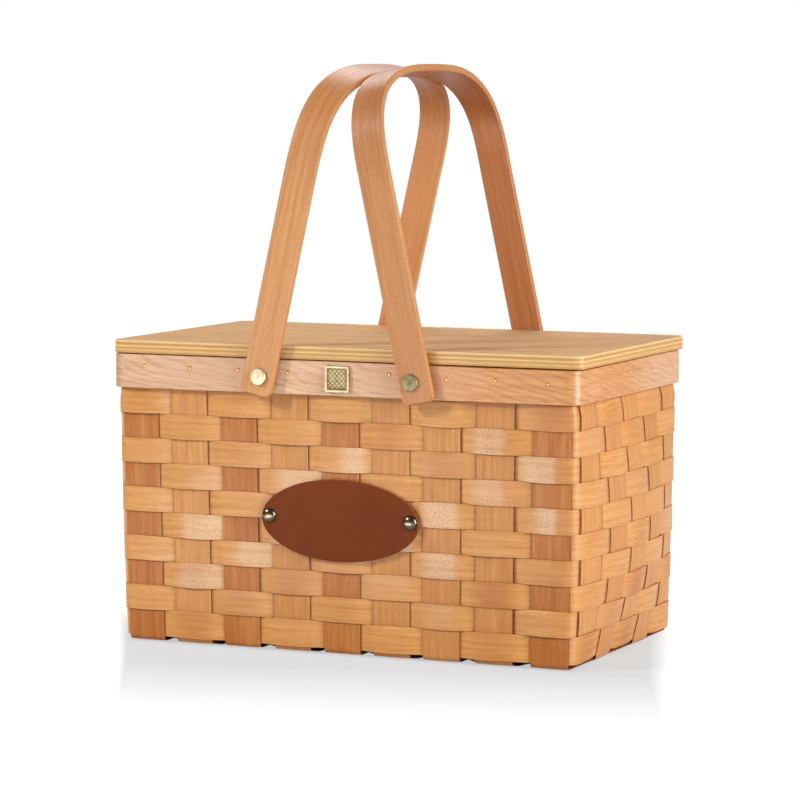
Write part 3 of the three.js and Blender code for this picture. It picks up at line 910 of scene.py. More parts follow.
@dataclass
class Assembly:
    """A sub-assembly, which builds its pieces and then dresses them."""

    pieces: list[bpy.types.Object] = field(default_factory=list, init=False)

    def build(self) -> None:
        """Builds the meshes."""
        raise NotImplementedError

    def dress(self) -> None:
        """Gives the meshes their finishes."""
        raise NotImplementedError

    def add(self, name: str, body: str, grids: Sequence[Grid], replaced: Sequence[str] = ()) -> None:
        """Builds a piece and keeps it."""
        self.pieces.append(build_piece(name, body, grids, replaced))

    def finish(self, looks: Sequence[Finish], slot: str, part: str = "") -> None:
        """Puts finishes on the pieces.

        Args:
            looks: The finishes, in the order of the faces' numbers.
            slot: The material slot's name; it is not used.
            part: Only pieces whose names hold this are dressed.
        """
        materials = [look.shade() for look in looks]
        for piece in self.pieces:
            if part in piece.name:
                for material in materials:
                    piece.data.materials.append(material)


@dataclass
class Weavers(Assembly):
    """Ten level splints, each a ring that goes outside one upright and inside the next.

    A pair for a float's stray is its mean and its spread. Places along a float are counted from its
    upright in steps to the next one. Edge darkenings are the lower and the upper edge's, partly stain
    and partly painted shade; slot shades, painted, are the dark and the pale slots'.
    """

    thickness: float = 0.6
    edge: float = 0.22
    gap: float = -0.24
    crossing: float = 0.64
    bulge: float = 0.6
    cup: float = 0.15
    narrowing: float = 0.012
    sag: float = 0.2
    droop: float = 1.5
    step: float = 1.9
    lifts: Pair = (0.0, 0.15)
    tilts: Pair = (0.0, 0.3)
    twists: Pair = (-0.12, 0.28)
    skews: Pair = (0.0, 0.3)
    shades: Pair = (0.18, 0.26)
    # These set the shine, which weights the lacquer coat and places the painted sheen on the floats.
    shines: Pair = (0.2, 1.3)
    shine_everywhere: float = 0.2
    shine_row: float = 0.7
    shine_power: float = 0.7
    end_shine: float = 0.3
    begins: Pair = (-0.6, 0.1)
    begin_step: float = 0.06
    begin_round: float = 0.54
    begin_ease: float = 0.5
    fade_first: float = 1.1
    fade_step: float = 0.11
    fade_most: float = 0.85
    fade_ease: float = 0.25
    edge_stains_and_shades: Pair = (0.9, 0.5)
    slot: Pair = (0.61, 0.78)
    corner_slot: float = 0.54
    slot_eases: Pair = (0.03, 0.08)
    slot_shades: Pair = (0.9, 0.4)
    grain_shift: float = 1700.0

    def places(self, middle: float, flats: np.ndarray, arc: float) -> np.ndarray:
        """Finds the uprights.

        Args:
            middle: Height of the row.
            flats: Lengths of the straight part of the front and of an end.
            arc: Length of a corner.

        Returns:
            The lengths round the wall at which they stand, from the left of the front on.
        """
        s = SHAPE
        front, end = np.array(s.front_slips), np.array(s.side_slips)
        reach = [s.stake_reach(side, middle) for side in (s.length, s.depth)]
        starts = np.cumsum([0, flats[0] + arc, flats[1] + arc, flats[0] + arc])
        walls = []
        for wall, slip in enumerate((front, end, -front[::-1], -end[::-1])):
            even = reach[wall % 2] * np.linspace(-1, 1, len(slip))
            walls.append(starts[wall] + flats[wall % 2] / 2 + even + slip)
        return np.concatenate(walls)

    def lacquer(
        self, row: int, chance: np.random.Generator, upright: np.ndarray, past: np.ndarray, count: int
    ) -> np.ndarray:
        """How much the lacquer shines along a row, which also places the painted sheen.

        Each float has its own strength, which is most on the middle rows and least on the right end.
        It begins at a chance place along the float and fades towards its right end, sooner the further
        right the upright stands on the front.

        Args:
            row: The row, 0 at the top.
            chance: Where the row's random numbers come from.
            upright: Which upright the float at each point crosses.
            past: Place along that float.
            count: Number of uprights.

        Returns:
            The strength at each point.
        """
        s = SHAPE
        low, high = self.shines
        strength = low + (high - low) * chance.uniform(0, 1, count) ** 2
        strength *= math.sin(math.pi * (row + self.shine_row) / s.rows) ** self.shine_power
        strength[s.front_stakes : s.front_stakes + s.side_stakes] *= self.end_shine
        order = np.arange(count)
        begin = chance.uniform(*self.begins, count) - self.begin_step * order % self.begin_round
        fade = np.minimum(self.fade_first - self.fade_step * (order % s.front_stakes), self.fade_most)
        strength, begin, fade = (of[upright][:, None] for of in (strength, begin, fade))
        shine = strength * ramp(past - begin, self.begin_ease) * ramp(fade - past, self.fade_ease)
        return np.clip(self.shine_everywhere + shine, 0, 1)

    def darkening(self, past: np.ndarray, upright: np.ndarray, edges: np.ndarray) -> np.ndarray:
        """Darkens the edges, partly as stain and partly as painted shade, and paints shade into the slots
        where a float goes in beside the next upright.

        A slot is darker at a float's left than at its right, except beside the right corner.

        Args:
            past: Place along the float at each point.
            upright: Which upright that float crosses.
            edges: Stain and painted shade of the edges.

        Returns:
            The darkening at each point.
        """
        # Painted shade in the slot where a float goes in behind the next upright.
        corner = (past > 0) & (upright == SHAPE.front_stakes - 1)[:, None]
        begin = np.where(corner, self.corner_slot, self.slot[0])
        end = self.slot[1]
        into = ramp(np.abs(past) - begin, self.slot_eases[0]) * ramp(end - np.abs(past), self.slot_eases[1])
        return np.maximum(edges, into * np.where((past < 0) | corner, *self.slot_shades))

    def ring(self, row: int) -> Grid:
        """Shape of one row.

        The splint follows the rounded wall at its own height. Counting the uprights round as q, it
        stands off the wall by the steepened cosine of pi times (q + row), and bulges a little
        more on the outside. Each float has its own small lift, tilt, twist and skew, and its lower edge
        sags; the last row is wider by its droop.

        Args:
            row: The row, 0 at the top.

        Returns:
            The closed strip.
        """
        s = SHAPE
        middle = s.weave_top - (row + 0.5) * s.row_pitch + self.gap / 2
        half = np.array([s.wall_half(side, middle) for side in (s.length, s.depth)])
        flats = 2 * (half - s.wall_corner)
        runs = np.ceil(flats / self.step).astype(int)
        path, out = rounded_loop(*half, s.wall_corner, runs, bend=10)
        way = run_lengths(path, True)
        total = way[-1]
        arc = s.wall_corner * QUARTER
        places = self.places(middle, flats, arc) * total / (2 * flats.sum() + 4 * arc)
        count = len(places)
        around = np.concatenate([[places[-1] - total], places, [places[0] + total]])
        q = np.interp(way[:-1], around, np.arange(-1, count + 1))
        wave = np.cos(math.pi * (q + row))[:, None]
        floats = np.maximum(wave, 0)
        nearest = np.round(q).astype(int)
        near = (q - nearest)[:, None]
        centre = 2 * np.round((q + row) / 2).astype(int) - row
        past = (q - centre)[:, None]
        chance = np.random.default_rng(s.seed * 100 + row)
        lifts, tilts, twists, skews, shades = (
            chance.normal(*stray, count)[nearest % count][:, None]
            for stray in (self.lifts, self.tilts, self.twists, self.skews, self.shades)
        )
        shine = self.lacquer(row, chance, centre % count, past, count)
        height = s.row_pitch - self.gap
        a, b = strip_section(height, self.thickness, self.edge, per_side=9, per_edge=3)[:, None]
        low = 0.5 - a / height
        away = self.crossing * steepened(wave) + self.bulge * floats
        cupped = self.cup * floats * (1 - (2 * a / height) ** 2)
        cupped = cupped + 2 * floats * (twists * a / height + skews * near)
        walls = [s.wall_half(side, middle + a) - at for side, at in zip((s.length, s.depth), half)]
        leaning = out[:, :1] ** 2 * walls[0] + out[:, 1:] ** 2 * walls[1]
        level = a * (1 - self.narrowing * (1 - np.abs(wave)))
        level = level + floats * (lifts + 2 * tilts * near) - self.sag * floats * low
        if row == s.rows - 1:
            level = level - self.droop * low
        flat = path[:, None, :] + out[:, None, :] * (b + away + cupped + leaning)[..., None]
        points = np.concatenate([flat, (middle + level)[..., None]], -1)
        points[..., 0] *= s.swell(points[..., 1] / half[1], points[..., 2])
        tone = np.clip(shades * np.abs(wave), 0, 1)
        # Edges darkened, the lower one most: partly cut-edge stain, partly painted shade under the float.
        edges = ramp(np.abs(a) - height / 2 + self.edge, self.edge) * np.where(a < 0, *self.edge_stains_and_shades)
        soil = self.darkening(past, centre % count, edges)
        grain = strip_grain(points, True, self.grain_shift * row)
        return Grid(points, grain, True, tone, soil, shine=shine)

    def build(self) -> None:
        """Builds the ten rings."""
        for row in range(SHAPE.rows):
            name = f"weaver_{row + 1:02d}"
            self.add(f"splint_{name}", "basket", [self.ring(row)], [name])

    def dress(self) -> None:
        """Golden splint on every ring."""
        self.finish([WEAVER_SPLINT], "weaver_splint")


@dataclass
class Stakes(Assembly):
    """Fourteen splints bent up at both ends: the uprights of the walls and the woven base."""

    thickness: float = 0.6
    edge: float = 0.22
    bend: float = 3.2
    drop: float = 0.5
    base: float = 1.4
    over: float = 1.1
    wave: float = 0.2
    wave_rise: float = 4.0
    wave_eases: Pair = (12.0, 9.0)
    cup: float = 0.12
    wall_points: int = 110
    bend_points: int = 8
    floor_step: float = 2.2
    edge_stain_and_shade: float = 0.7
    front_tones: tuple[float, ...] = (0.88, 0.1, 0.82, 0.25, 0.8, 0.2, 0.3, 0.3, 0.82)
    side_tones: tuple[float, ...] = (0.1, 0.2, 0.05, 0.15, 0.1)
    side_seed: int = 20
    grain_start: float = 40000.0
    grain_shift: float = 900.0

    def strip(
        self, share: float, slip: float, parity: int, lengthwise: bool, tone: float, seed: int
    ) -> Grid:
        """Shape of one stake.

        Its middle line runs down one wall, round a quarter circle, over the base and up the other
        wall. On the walls it waves by minus the cosine of pi times (row + parity), against the
        weavers. A lengthwise stake goes over and under the others in the base by the steepened cosine.

        Args:
            share: Its place across the wall, from -1 to 1.
            slip: How far it stands from that place.
            parity: 0 or 1, which rows it shows in.
            lengthwise: Whether it runs along X.
            tone: Its shade.
            seed: Shifts its grain.

        Returns:
            The bent strip.
        """
        s = SHAPE
        run, cross = (s.length, s.depth) if lengthwise else (s.depth, s.length)
        over = 0.0
        if lengthwise:
            over = self.over if parity else -self.over
        bend_z = self.base + over + self.bend
        wall_z = np.linspace(s.rim_bottom + s.rim_height - self.drop, bend_z, self.wall_points)
        turn = np.linspace(0, QUARTER, self.bend_points)[1:]
        floor_from = s.wall_half(run, bend_z) - self.bend
        floor = np.linspace(-floor_from, 0, int(floor_from / self.floor_step))[1:]
        last = s.front_stakes - 1
        q = np.clip((floor / s.stake_reach(run, self.base) + 1) / 2 * last, 0, last)
        woven = self.base + over * steepened(np.cos(math.pi * q))
        bent = -floor_from - self.bend * np.cos(turn)
        along = np.concatenate([-s.wall_half(run, wall_z), bent, floor])
        z = np.concatenate([wall_z, bend_z - self.bend * np.sin(turn), woven])
        along = np.concatenate([along, -along[-2::-1]])
        z = np.concatenate([z, z[-2::-1]])
        step = headings(along, z)
        row = (s.weave_top - z) / s.row_pitch - 0.5
        inside = ramp(s.weave_top + self.wave_rise - z, self.wave_eases[0])
        inside = inside * ramp(z - s.weave_bottom, self.wave_eases[1])
        shift = -self.wave * np.cos(math.pi * (row + parity)) * inside
        line = np.stack([along, z], -1) + shift[:, None] * np.stack([step[:, 1], -step[:, 0]], -1)
        centre = share * s.stake_reach(cross, np.minimum(z, s.rim_bottom - s.spread_depth))
        a, b = strip_section(s.stake_width, self.thickness, self.edge, per_side=9, per_edge=3)
        b = np.tile(b + self.cup * (1 - (2 * a / s.stake_width) ** 2), (len(line), 1))
        b[[0, -1]] = 0
        run_place = line[:, :1] + b * step[:, 1:]
        up_place = line[:, 1:] - b * step[:, :1]
        cross_place = centre[:, None] + slip + a
        order = [cross_place, run_place, up_place]
        if lengthwise:
            longer = s.swell(cross_place / s.wall_half(cross, 0.0), up_place)
            order = [run_place * longer, -cross_place, up_place]
        points = np.stack(order, -1)
        points[..., 2] = np.maximum(points[..., 2], 0)
        # Edges darkened: partly stain at cut edges, partly painted shade beside the floats.
        soil = ramp(np.abs(a) - s.stake_width / 2 + self.edge, self.edge) * self.edge_stain_and_shade
        grain = strip_grain(points, False, self.grain_shift * seed + self.grain_start)
        return Grid(points, grain, tone=tone, soil=soil)

    def build(self) -> None:
        """Builds nine front-to-back stakes and five lengthwise ones."""
        side_slips = [-slip for slip in reversed(SHAPE.side_slips)]
        walls = (
            ("front", SHAPE.front_slips, self.front_tones, 0),
            ("side", side_slips, self.side_tones, 1),
        )
        for wall, slips, tones, lengthwise in walls:
            for i, (slip, tone) in enumerate(zip(slips, tones)):
                share = 2 * i / (len(tones) - 1) - 1
                parity = (i + lengthwise) % 2
                seed = self.side_seed * lengthwise + i
                grid = self.strip(share, slip, parity, bool(lengthwise), tone, seed)
                name = f"{wall}_stake_{i + 1}"
                self.add(f"splint_{name}", "basket", [grid], [name])

    def dress(self) -> None:
        """Stained splint on every stake."""
        self.finish([STAKE_SPLINT], "stake_splint")


@dataclass
class Rim(Assembly):
    """Two bent strips that clamp the uprights, nailed through at each upright.

    Where the wood is golden is given along X and along Y. The painted shadow along the upper edge,
    under the lid, is what it has everywhere, and what is added where the wood is golden.
    """

    outer: float = 4.0
    inner: float = 3.0
    inner_inset: float = 5.2
    edge: float = 0.7
    lid_gap: float = 0.3
    least_bend: float = 2.0
    grain_shift: float = 5000.0
    golden_from: Pair = (20.0, 60.0)
    golden_runs: Pair = (90.0, 60.0)
    golden_behind: float = 0.3
    # Painted shadow along the upper edge under the lid, and painted shade on the front-left bend.
    edge_stains_and_shades: Pair = (0.4, 0.6)
    bend_shade: float = 0.4
    bend_reach: float = 9.0
    bend_ease: float = 5.0
    nail_height: float = 192.4
    nail_head: float = 1.05
    nail_slip: float = 1.2
    nail_rise: float = 0.5
    front_nails: tuple[Pair, ...] = (
        (4.4, 1.3), (1.7, 0.4), (2.4, 0.3), (1.1, -0.6), (0, 0), (-0.4, 1.3), (3.5, -1.4), (3.3, -0.3),
        (2.3, -2),
    )

    def strip(self, inset: float, thickness: float, drop: float, seed: int) -> Grid:
        """A strip's section, carried level round the rounded rectangle at its middle.

        Its wood is more golden towards the right of the front. Painted shadow lies along its upper edge,
        under the lid, and painted shade on the bend at the front left and on the front half of the left
        end, where it stops at the middle.

        Args:
            inset: How far its outer face lies inside the rim's.
            thickness: Its thickness.
            drop: How far its upper edge lies below the rim's.
            seed: Shifts its grain.

        Returns:
            The closed strip.
        """
        s = SHAPE
        by = inset + thickness / 2
        height = s.rim_height - drop
        corner = max(s.rim_corner - inset, self.least_bend + thickness) - thickness / 2
        half_x, half_y = s.length / 2 - by, s.depth / 2 - by
        path, out = rounded_loop(half_x, half_y, corner, runs=(90, 54), bend=12)
        a, b = strip_section(height, thickness, self.edge, per_side=6, per_edge=4)
        flat = path[:, None, :] + out[:, None, :] * b[None, :, None]
        level = np.broadcast_to(s.rim_bottom + height / 2 + a, flat.shape[:2])
        points = np.concatenate([flat, level[..., None]], -1)
        x, y = path.T[..., None]
        golden = np.clip((self.golden_from[1] - y) / self.golden_runs[1], self.golden_behind, 1)
        golden = ramp(x - self.golden_from[0], self.golden_runs[0]) * golden
        # Painted shadow under the lid along the upper edge, painted shade on the front-left bend.
        upper = ramp(a - height / 2 + self.edge, self.edge)
        bend = ramp(self.bend_reach - s.length / 2 - x, self.bend_ease) * (y < 0)
        least, more = self.edge_stains_and_shades
        soil = np.maximum(upper * (least + more * golden), self.bend_shade * bend)
        return Grid(points, strip_grain(points, True, self.grain_shift * seed), True, golden, soil)

    def nails(self) -> list[Grid]:
        """Turned nail heads on the outer strip, one at each upright, each a little off its place, with a
        dark flange round each head that paints the shadow of its recess.
        """
        s = SHAPE
        chance = np.random.default_rng(s.seed)
        r = self.nail_head
        profile = [
            (0, -3.0), (0.6, -3.0), (0.6, 0.01), (r * 1.45, 0.01), (r * 1.45, 0.05), (r * 1.02, 0.06),
            (r, 0.12), (r * 0.85, 0.3), (r * 0.5, 0.42), (0, 0.45),
        ]
        # Tone 1 on the flange paints a dark shadow ring round the head; the shank is hidden.
        tone = [1, 1, 1, 1, 1, 1, 0.3, 0.1, 0, 0]
        walls = ((s.length, s.depth, s.front_stakes), (s.depth, s.length, s.side_stakes))
        heads = []
        for side, (c, d) in enumerate(TURNS):
            along, away, count = walls[side % 2]
            places = s.stake_reach(along, s.rim_bottom) * np.linspace(-1, 1, count)
            moves = self.front_nails if side == 0 else [(0.0, 0.0)] * count
            for place, (aside, above) in zip(places, moves):
                u = place + (chance.normal(0, self.nail_slip) + aside)
                z = self.nail_height + (chance.normal(0, self.nail_rise) + above)
                under_badge = side == 0 and abs(place) < 1
                if not under_badge:
                    origin = (c * u + d * away / 2, d * u - c * away / 2, z)
                    heads.append(lathe(profile, origin, (d, -c, 0), steps=16, tone=tone))
        return heads

    def build(self) -> None:
        """Builds both strips and the nails."""
        outer = self.strip(0, self.outer, self.lid_gap, seed=1)
        inner = self.strip(self.inner_inset, self.inner, 0, seed=2)
        self.add("bent_outer_rim", "basket", [outer], ["outer_rim"])
        self.add("bent_inner_rim", "basket", [inner], ["inner_rim"])
        self.add("rim_nails", "basket", self.nails())

    def dress(self) -> None:
        """Bent ash on the strips and brass on the nails."""
        self.finish([RIM_WOOD], "rim_wood", "bent_")
        self.finish([NAIL_BRASS], "brass", "nails")


@dataclass
class Lid(Assembly):
    """A plywood board with rounded corners, eased edges and bare ply edges."""

    length: float = 347.0
    front: float = -103.0
    rear: float = 101.5
    bottom: float = 201.3
    thickness: float = 9.0
    corner: float = 7.0
    edge: float = 0.7
    shift: float = 1.5

    def board(self) -> Grid:
        """Loops of the board's outline: in at the edges by a quarter circle, closed at its centre."""
        turn = np.linspace(0, QUARTER, 4)
        inset = self.edge * (1 - np.sin(turn))
        rise = self.edge * (1 - np.cos(turn))
        steps = [*zip(inset, rise), *zip(inset[::-1], self.thickness - rise[::-1])]
        half = (self.length / 2, (self.rear - self.front) / 2)
        loops, level = stacked_loops(half, self.corner, steps, runs=(40, 24), bend=10)
        points = np.concatenate([loops, level[..., None]], -1)
        points += np.array([self.shift, (self.front + self.rear) / 2, self.bottom])
        closed = np.concatenate([points, points[:, :1]], 1)
        plies = np.zeros((len(points) - 1, 1), int)
        plies[2:-2] = 1
        return Grid(points, closed[..., :2], finish=plies)

    def build(self) -> None:
        """Builds the board."""
        self.add("ply_lid", "lid", [self.board()], ["lid"])

    def dress(self) -> None:
        """Birch face above and below, plies round the edge."""
        edge = PlyEdge("cut birch ply edge", self.bottom, self.thickness, PLY_BANDS)
        self.finish([LID_FACE, edge], "lid_ply")


@dataclass
class Handles(Assembly):
    """Two bentwood arches that lean on each other, with their rivets, washers and burrs.

    Where a field holds two groups, the first is the left handle's and the second the right one's.
    Places along an arch go from -1 at its front end to 1 at its back end.
    """

    width: float = 22.5
    thickness: float = 5.0
    rise: float = 213.5
    shoulder: float = 138.0
    squareness: float = 3.05
    tails: Pair = (12.8, 14.5)
    end_corner: float = 5.0
    edge: float = 0.8
    tip_points: int = 9
    leg_points: int = 34
    crown_points: int = 97
    grain_start: float = 90000.0
    grain_shift: float = 3000.0
    edge_tone: float = 0.5
    tone_places: tuple[float, ...] = (-0.6, 0, 0.6)
    # Tone 1 at the middle of the crown paints the arch tops darker, as painted shade.
    tones: tuple[tuple[float, ...], ...] = ((0.05, 1.0, 0.25), (0.35, 1.0, 0.8))
    stray_places: tuple[float, ...] = (-1, -0.5, -0.15, 0.15, 0.5, 1)
    strays: tuple[tuple[float, ...], ...] = (
        (-1.2, 0.5, 2.2, 2.2, 0.7, -1.6), (2.8, 2.2, 2.4, 2.5, 1.2, 1.8),
    )
    leg_middle: float = 107.5
    crown_gap: float = 0.3
    pivot_x: float = 55.875
    pivot_z: float = 189.25
    shank: float = 2.7
    rivet_head: float = 2.4
    rivet_tail: float = 1.2
    # The higher tone paints the front-right and back-left rivets darker, as painted shade.
    pale_tone: float = 0.1
    painted_dark_tone: float = 0.8
    bore: float = 3.0
    disc_edge: float = 0.25

    def arch(self, sign: int) -> Grid:
        """Shape of one handle.

        The middle line is a straight leg, a crown and a leg. The crown is a superellipse: the powers of
        its shares across and up add to 1. The strip narrows at its ends by a quarter circle, and the
        whole leans about its pivot until the crowns' edges meet. It strays a little along X, as hand-bent
        wood does.

        Args:
            sign: -1 for the left handle and 1 for the right.

        Returns:
            The bent strip.
        """
        which = (sign + 1) // 2
        turn = np.linspace(0, QUARTER, self.tip_points)
        tail = self.tails[which]
        tip = -tail + self.end_corner * (1 - np.cos(turn))
        leg_z = np.linspace(tip[-1], self.shoulder, self.leg_points)[1:-1]
        leg_z = np.concatenate([tip, leg_z])
        leg_y = np.full_like(leg_z, self.leg_middle)
        swing = np.linspace(0, math.pi, self.crown_points)
        power = self.squareness
        reach = (np.abs(np.cos(swing)) ** power + np.abs(np.sin(swing)) ** power) ** (-1 / power)
        crown_rise = self.rise - self.thickness / 2 - self.shoulder
        y = np.concatenate([-leg_y, -self.leg_middle * reach * np.cos(swing), leg_y])
        z = np.concatenate([leg_z, self.shoulder + crown_rise * reach * np.sin(swing), leg_z[::-1]])
        step = headings(y, z)
        narrow = np.ones_like(y)
        narrow[: len(turn)] = 1 - 2 * self.end_corner / self.width * (1 - np.sin(turn))
        narrow[-len(turn) :] = narrow[: len(turn)][::-1]
        thin = np.sqrt(1 - (1 - ramp(z + tail, self.edge)) ** 2)
        a, b = strip_section(self.width, self.thickness, self.edge, per_side=5, per_edge=5)
        across = a * narrow[:, None]
        deep = b * thin[:, None]
        local_y = y[:, None] - deep * step[:, 1:]
        local_z = z[:, None] + deep * step[:, :1]
        lean = math.asin((self.pivot_x - self.crown_gap / 2) / math.hypot(self.rise, self.width / 2))
        lean -= math.atan2(self.width / 2, self.rise)
        c, s = math.cos(lean), math.sin(lean)
        share = np.linspace(-1, 1, len(y))
        stray = np.interp(share, self.stray_places, self.strays[which])
        x = sign * (self.pivot_x - local_z * s) + across * c + stray[:, None]
        up = self.pivot_z + local_z * c + sign * across * s
        points = np.stack([x, local_y, up], -1)
        faces = self.edge_tone + (1 - self.edge_tone) * ramp(self.width / 2 - np.abs(a), self.edge)
        # The crown's tone is painted shade on the tops; elsewhere it is the wood's own tone.
        tone = np.interp(share, self.tone_places, self.tones[which])[:, None] * faces
        grain = strip_grain(points, False, self.grain_start + self.grain_shift * sign)
        return Grid(points, grain, tone=tone)

    def rivet(self, x: float, side: int, low: float, high: float) -> Grid:
        """A rivet's turned shape: a low dome with a dimple, a shank, and a peened tail.

        The rivets at the front right and the back left are painted darker, standing in for a dimmer
        reflection. A dark ring at the base of every head paints its shadow on the wood.

        Args:
            x: Its place along the rim.
            side: -1 for the front and 1 for the back.
            low: Distance of the tail's end from the middle of the basket.
            high: Distance of the head's top from the middle of the basket.

        Returns:
            The turned surface.
        """
        seat = high - self.rivet_head
        grip = low + self.rivet_tail
        head = [
            (5.5, 0.02), (5.75, 0.3), (5.75, 1.3), (5.6, 1.75), (5.2, 2.05), (4.4, 2.2), (3.0, 2.32),
            (1.4, 2.39), (0.7, self.rivet_head), (0.45, 2.3), (0, 2.2),
        ]
        dull = self.painted_dark_tone if x * side < 0 else self.pale_tone
        # Tone 1 at the head's base paints a shadow ring; the darker pair is painted shade.
        tone = [max(t, dull) for t in (1, 0.8, 0.4, 0.1, 0, 0, 0, 0, 0.1, 0.6, 0.6)]
        stem = [(0, low), (2.2, low + 0.15), (3.6, low + 0.6), (4.0, grip), (self.shank, grip)]
        stem.append((self.shank, seat))
        profile = stem + [(radius, seat + height) for radius, height in head]
        return lathe(profile, (x, 0, self.pivot_z), (0, side, 0), 40, [0.4] * len(stem) + tone)

    def disc(self, x: float, side: int, near: float, far: float, radius: float) -> Grid:
        """A washer's turned shape: a flat ring with eased outer edges.

        Args:
            x: Its place along the rim.
            side: -1 for the front and 1 for the back.
            near: Distance of its inner face from the middle of the basket.
            far: Distance of its outer face from the middle of the basket.
            radius: Its outside radius.

        Returns:
            The turned surface, closed through its bore.
        """
        ease, bore = self.disc_edge, self.bore
        profile = [
            (bore, near), (radius - ease, near), (radius, near + ease), (radius, far - ease),
            (radius - ease, far), (bore, far), (bore, near),
        ]
        return lathe(profile, (x, 0, self.pivot_z), (0, side, 0), 32, [0.5, 0.3, 0.1, 0.1, 0.3, 0.5, 0.5])

    def build(self) -> None:
        """Builds both arches and what holds them."""
        for name, sign in SIDES:
            body = f"{name}_handle"
            self.add(f"bent_{body}", body, [self.arch(sign)], [body])
            for face, side in (("front", -1), ("back", 1)):
                x = sign * self.pivot_x
                for kind, radius in (("handle_rivet", 0.0), ("handle_washer", 7.0), ("rivet_burr", 5.5)):
                    cad = f"{face}_{name}_{kind}"
                    ends = sorted(abs(corner.y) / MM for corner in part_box(cad))
                    grid = self.disc(x, side, *ends, radius) if radius else self.rivet(x, side, *ends)
                    self.add(f"turned_{cad}", "basket", [grid], [cad])

    def dress(self) -> None:
        """Bent beech on the arches and pale brass on what holds them."""
        self.finish([HANDLE_WOOD], "handle_wood", "bent_")
        self.finish([RIVET_BRASS], "brass", "turned_")


@dataclass
class Hinges(Assembly):
    """Two small brass butt hinges on the back, with slotted screws."""

    offset: float = 24.0
    width: float = 24.0
    thickness: float = 1.0
    axis_y: float = 103.8
    axis_z: float = 208.3
    knuckle: float = 2.0
    pin: float = 0.9
    gap: float = 0.3
    ease: float = 0.25
    barrel_ease: float = 0.2
    leaf_corner: float = 1.5
    tab_corner: float = 0.3
    screw_place: float = 7.5
    screw_depth: float = 2.0
    screw_base: float = 0.05
    screw_dome: float = 0.35
    slot_half: float = 0.34
    slot_ease: float = 0.1
    slot_depth: float = 0.3

    @property
    def barrel_length(self) -> float:
        """Length of one of the three barrels."""
        return (self.width - 2 * self.gap) / 3

    @property
    def leaf_top(self) -> float:
        """Height of the leaves' upper edges."""
        return self.axis_z - self.knuckle - self.gap

    def plate(self, half_x: float, half_z: float, corner: float, centre: Sequence[float]) -> Grid:
        """A thin upright plate: loops of a rounded rectangle, eased at both faces and closed in the middle.

        Args:
            half_x: Half its width.
            half_z: Half its height.
            corner: Radius of its corners.
            centre: Middle of its inner face.

        Returns:
            The closed plate.
        """
        ease, thick = self.ease, self.thickness
        steps = ((ease, 0), (0, ease), (0, thick - ease), (ease, thick))
        loops, level = stacked_loops((half_x, half_z), corner, steps, runs=(8, 8), bend=5)
        x, y, z = centre
        points = np.stack([x + loops[..., 0], y + level, z + loops[..., 1]], -1)
        return Grid(points, strip_grain(points))

    def barrel(self, x: float, length: float, radius: float, bore: float) -> Grid:
        """A tube along X with eased ends, or a solid pin where the bore is 0."""
        half, inner = length / 2, radius - self.barrel_ease
        shoulder = half - self.barrel_ease
        profile = [
            (bore, -half), (inner, -half), (radius, -shoulder),
            (radius, shoulder), (inner, half), (bore, half),
        ]
        if bore:
            profile.append(profile[0])
        return lathe(profile, (x, self.axis_y, self.axis_z), (1, 0, 0), steps=28)

    def leaf(self, x: float, near_y: float, low: float, knuckles: Sequence[float]) -> list[Grid]:
        """A leaf: its plate, and a tab and a barrel for each knuckle.

        Args:
            x: Middle of the hinge.
            near_y: Where its inner face lies.
            low: Height of its lower edge.
            knuckles: Places of its barrels along the hinge.

        Returns:
            The leaf's surfaces.
        """
        top, length = self.leaf_top, self.barrel_length
        middle = (x, near_y, (top + low) / 2)
        grids = [self.plate(self.width / 2, (top - low) / 2, self.leaf_corner, middle)]
        for place in knuckles:
            centre = (x + place, near_y, self.axis_z - self.knuckle)
            grids.append(self.plate(length / 2, self.knuckle, self.tab_corner, centre))
            grids.append(self.barrel(x + place, length, self.knuckle, self.pin + self.gap))
        return grids

    def screw(self, x: float, y: float, z: float, radius: float, angle: float) -> Grid:
        """A screw's head: a low dome, sunk by the slot's depth where it is within half the slot's width.

        Args:
            x: Place along the hinge.
            y: Face that it is driven into.
            z: Height.
            radius: Radius of the head.
            angle: Turn of the slot.

        Returns:
            The head's surface, with a shank behind it.
        """
        share = np.linspace(1, 0, 13)
        r = np.concatenate([[0, 0.5, 0.5], share]) * radius
        back, base = -self.screw_depth, self.screw_base
        h = np.concatenate([[back, back, base], base + self.screw_dome * (1 - share**2)])[:, None]
        turn = np.linspace(0, ROUND, 48, endpoint=False)
        u, v = r[:, None] * np.cos(turn), r[:, None] * np.sin(turn)
        across = np.abs(-u * math.sin(angle) + v * math.cos(angle))
        slot = ramp(self.slot_half - across, self.slot_ease) * (np.arange(len(r)) > 2)[:, None]
        points = np.stack([x + u, y + h - self.slot_depth * slot * (h > base), z + v], -1)
        return Grid(points, strip_grain(points), tone=slot)

    def build(self) -> None:
        """Builds both hinges and their screws."""
        outer = self.barrel_length + self.gap
        chance = np.random.default_rng(SHAPE.seed + 1)
        # Kind, body, places of the barrels, inner face, and how far the screws are down and their radius.
        leaves = (
            ("rim_leaf", "basket", (-outer, outer), 103.6, 4.5, 2.0),
            ("lid_leaf", "lid", (0.0,), 101.6, 0.0, 1.5),
        )
        for name, sign in SIDES:
            x = sign * self.offset
            for kind, body, places, near, down, radius in leaves:
                cad = f"{name}_hinge_{kind}"
                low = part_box(cad)[0].z / MM
                self.add(f"brass_{cad}", body, self.leaf(x, near, low, places), [cad])
                z = (low + self.leaf_top) / 2 - down
                screws = [
                    self.screw(x + aside, near + self.thickness, z, radius, chance.uniform(0, math.pi))
                    for aside in (-self.screw_place, self.screw_place)
                ]
                self.add(f"{name}_{kind}_screws", body, screws)
            cad = f"{name}_hinge_pin"
            self.add(f"brass_{cad}", "basket", [self.barrel(x, self.width, self.pin, 0.0)], [cad])

    def dress(self) -> None:
        """Tumbled brass all over."""
        self.finish([BRASS], "brass")


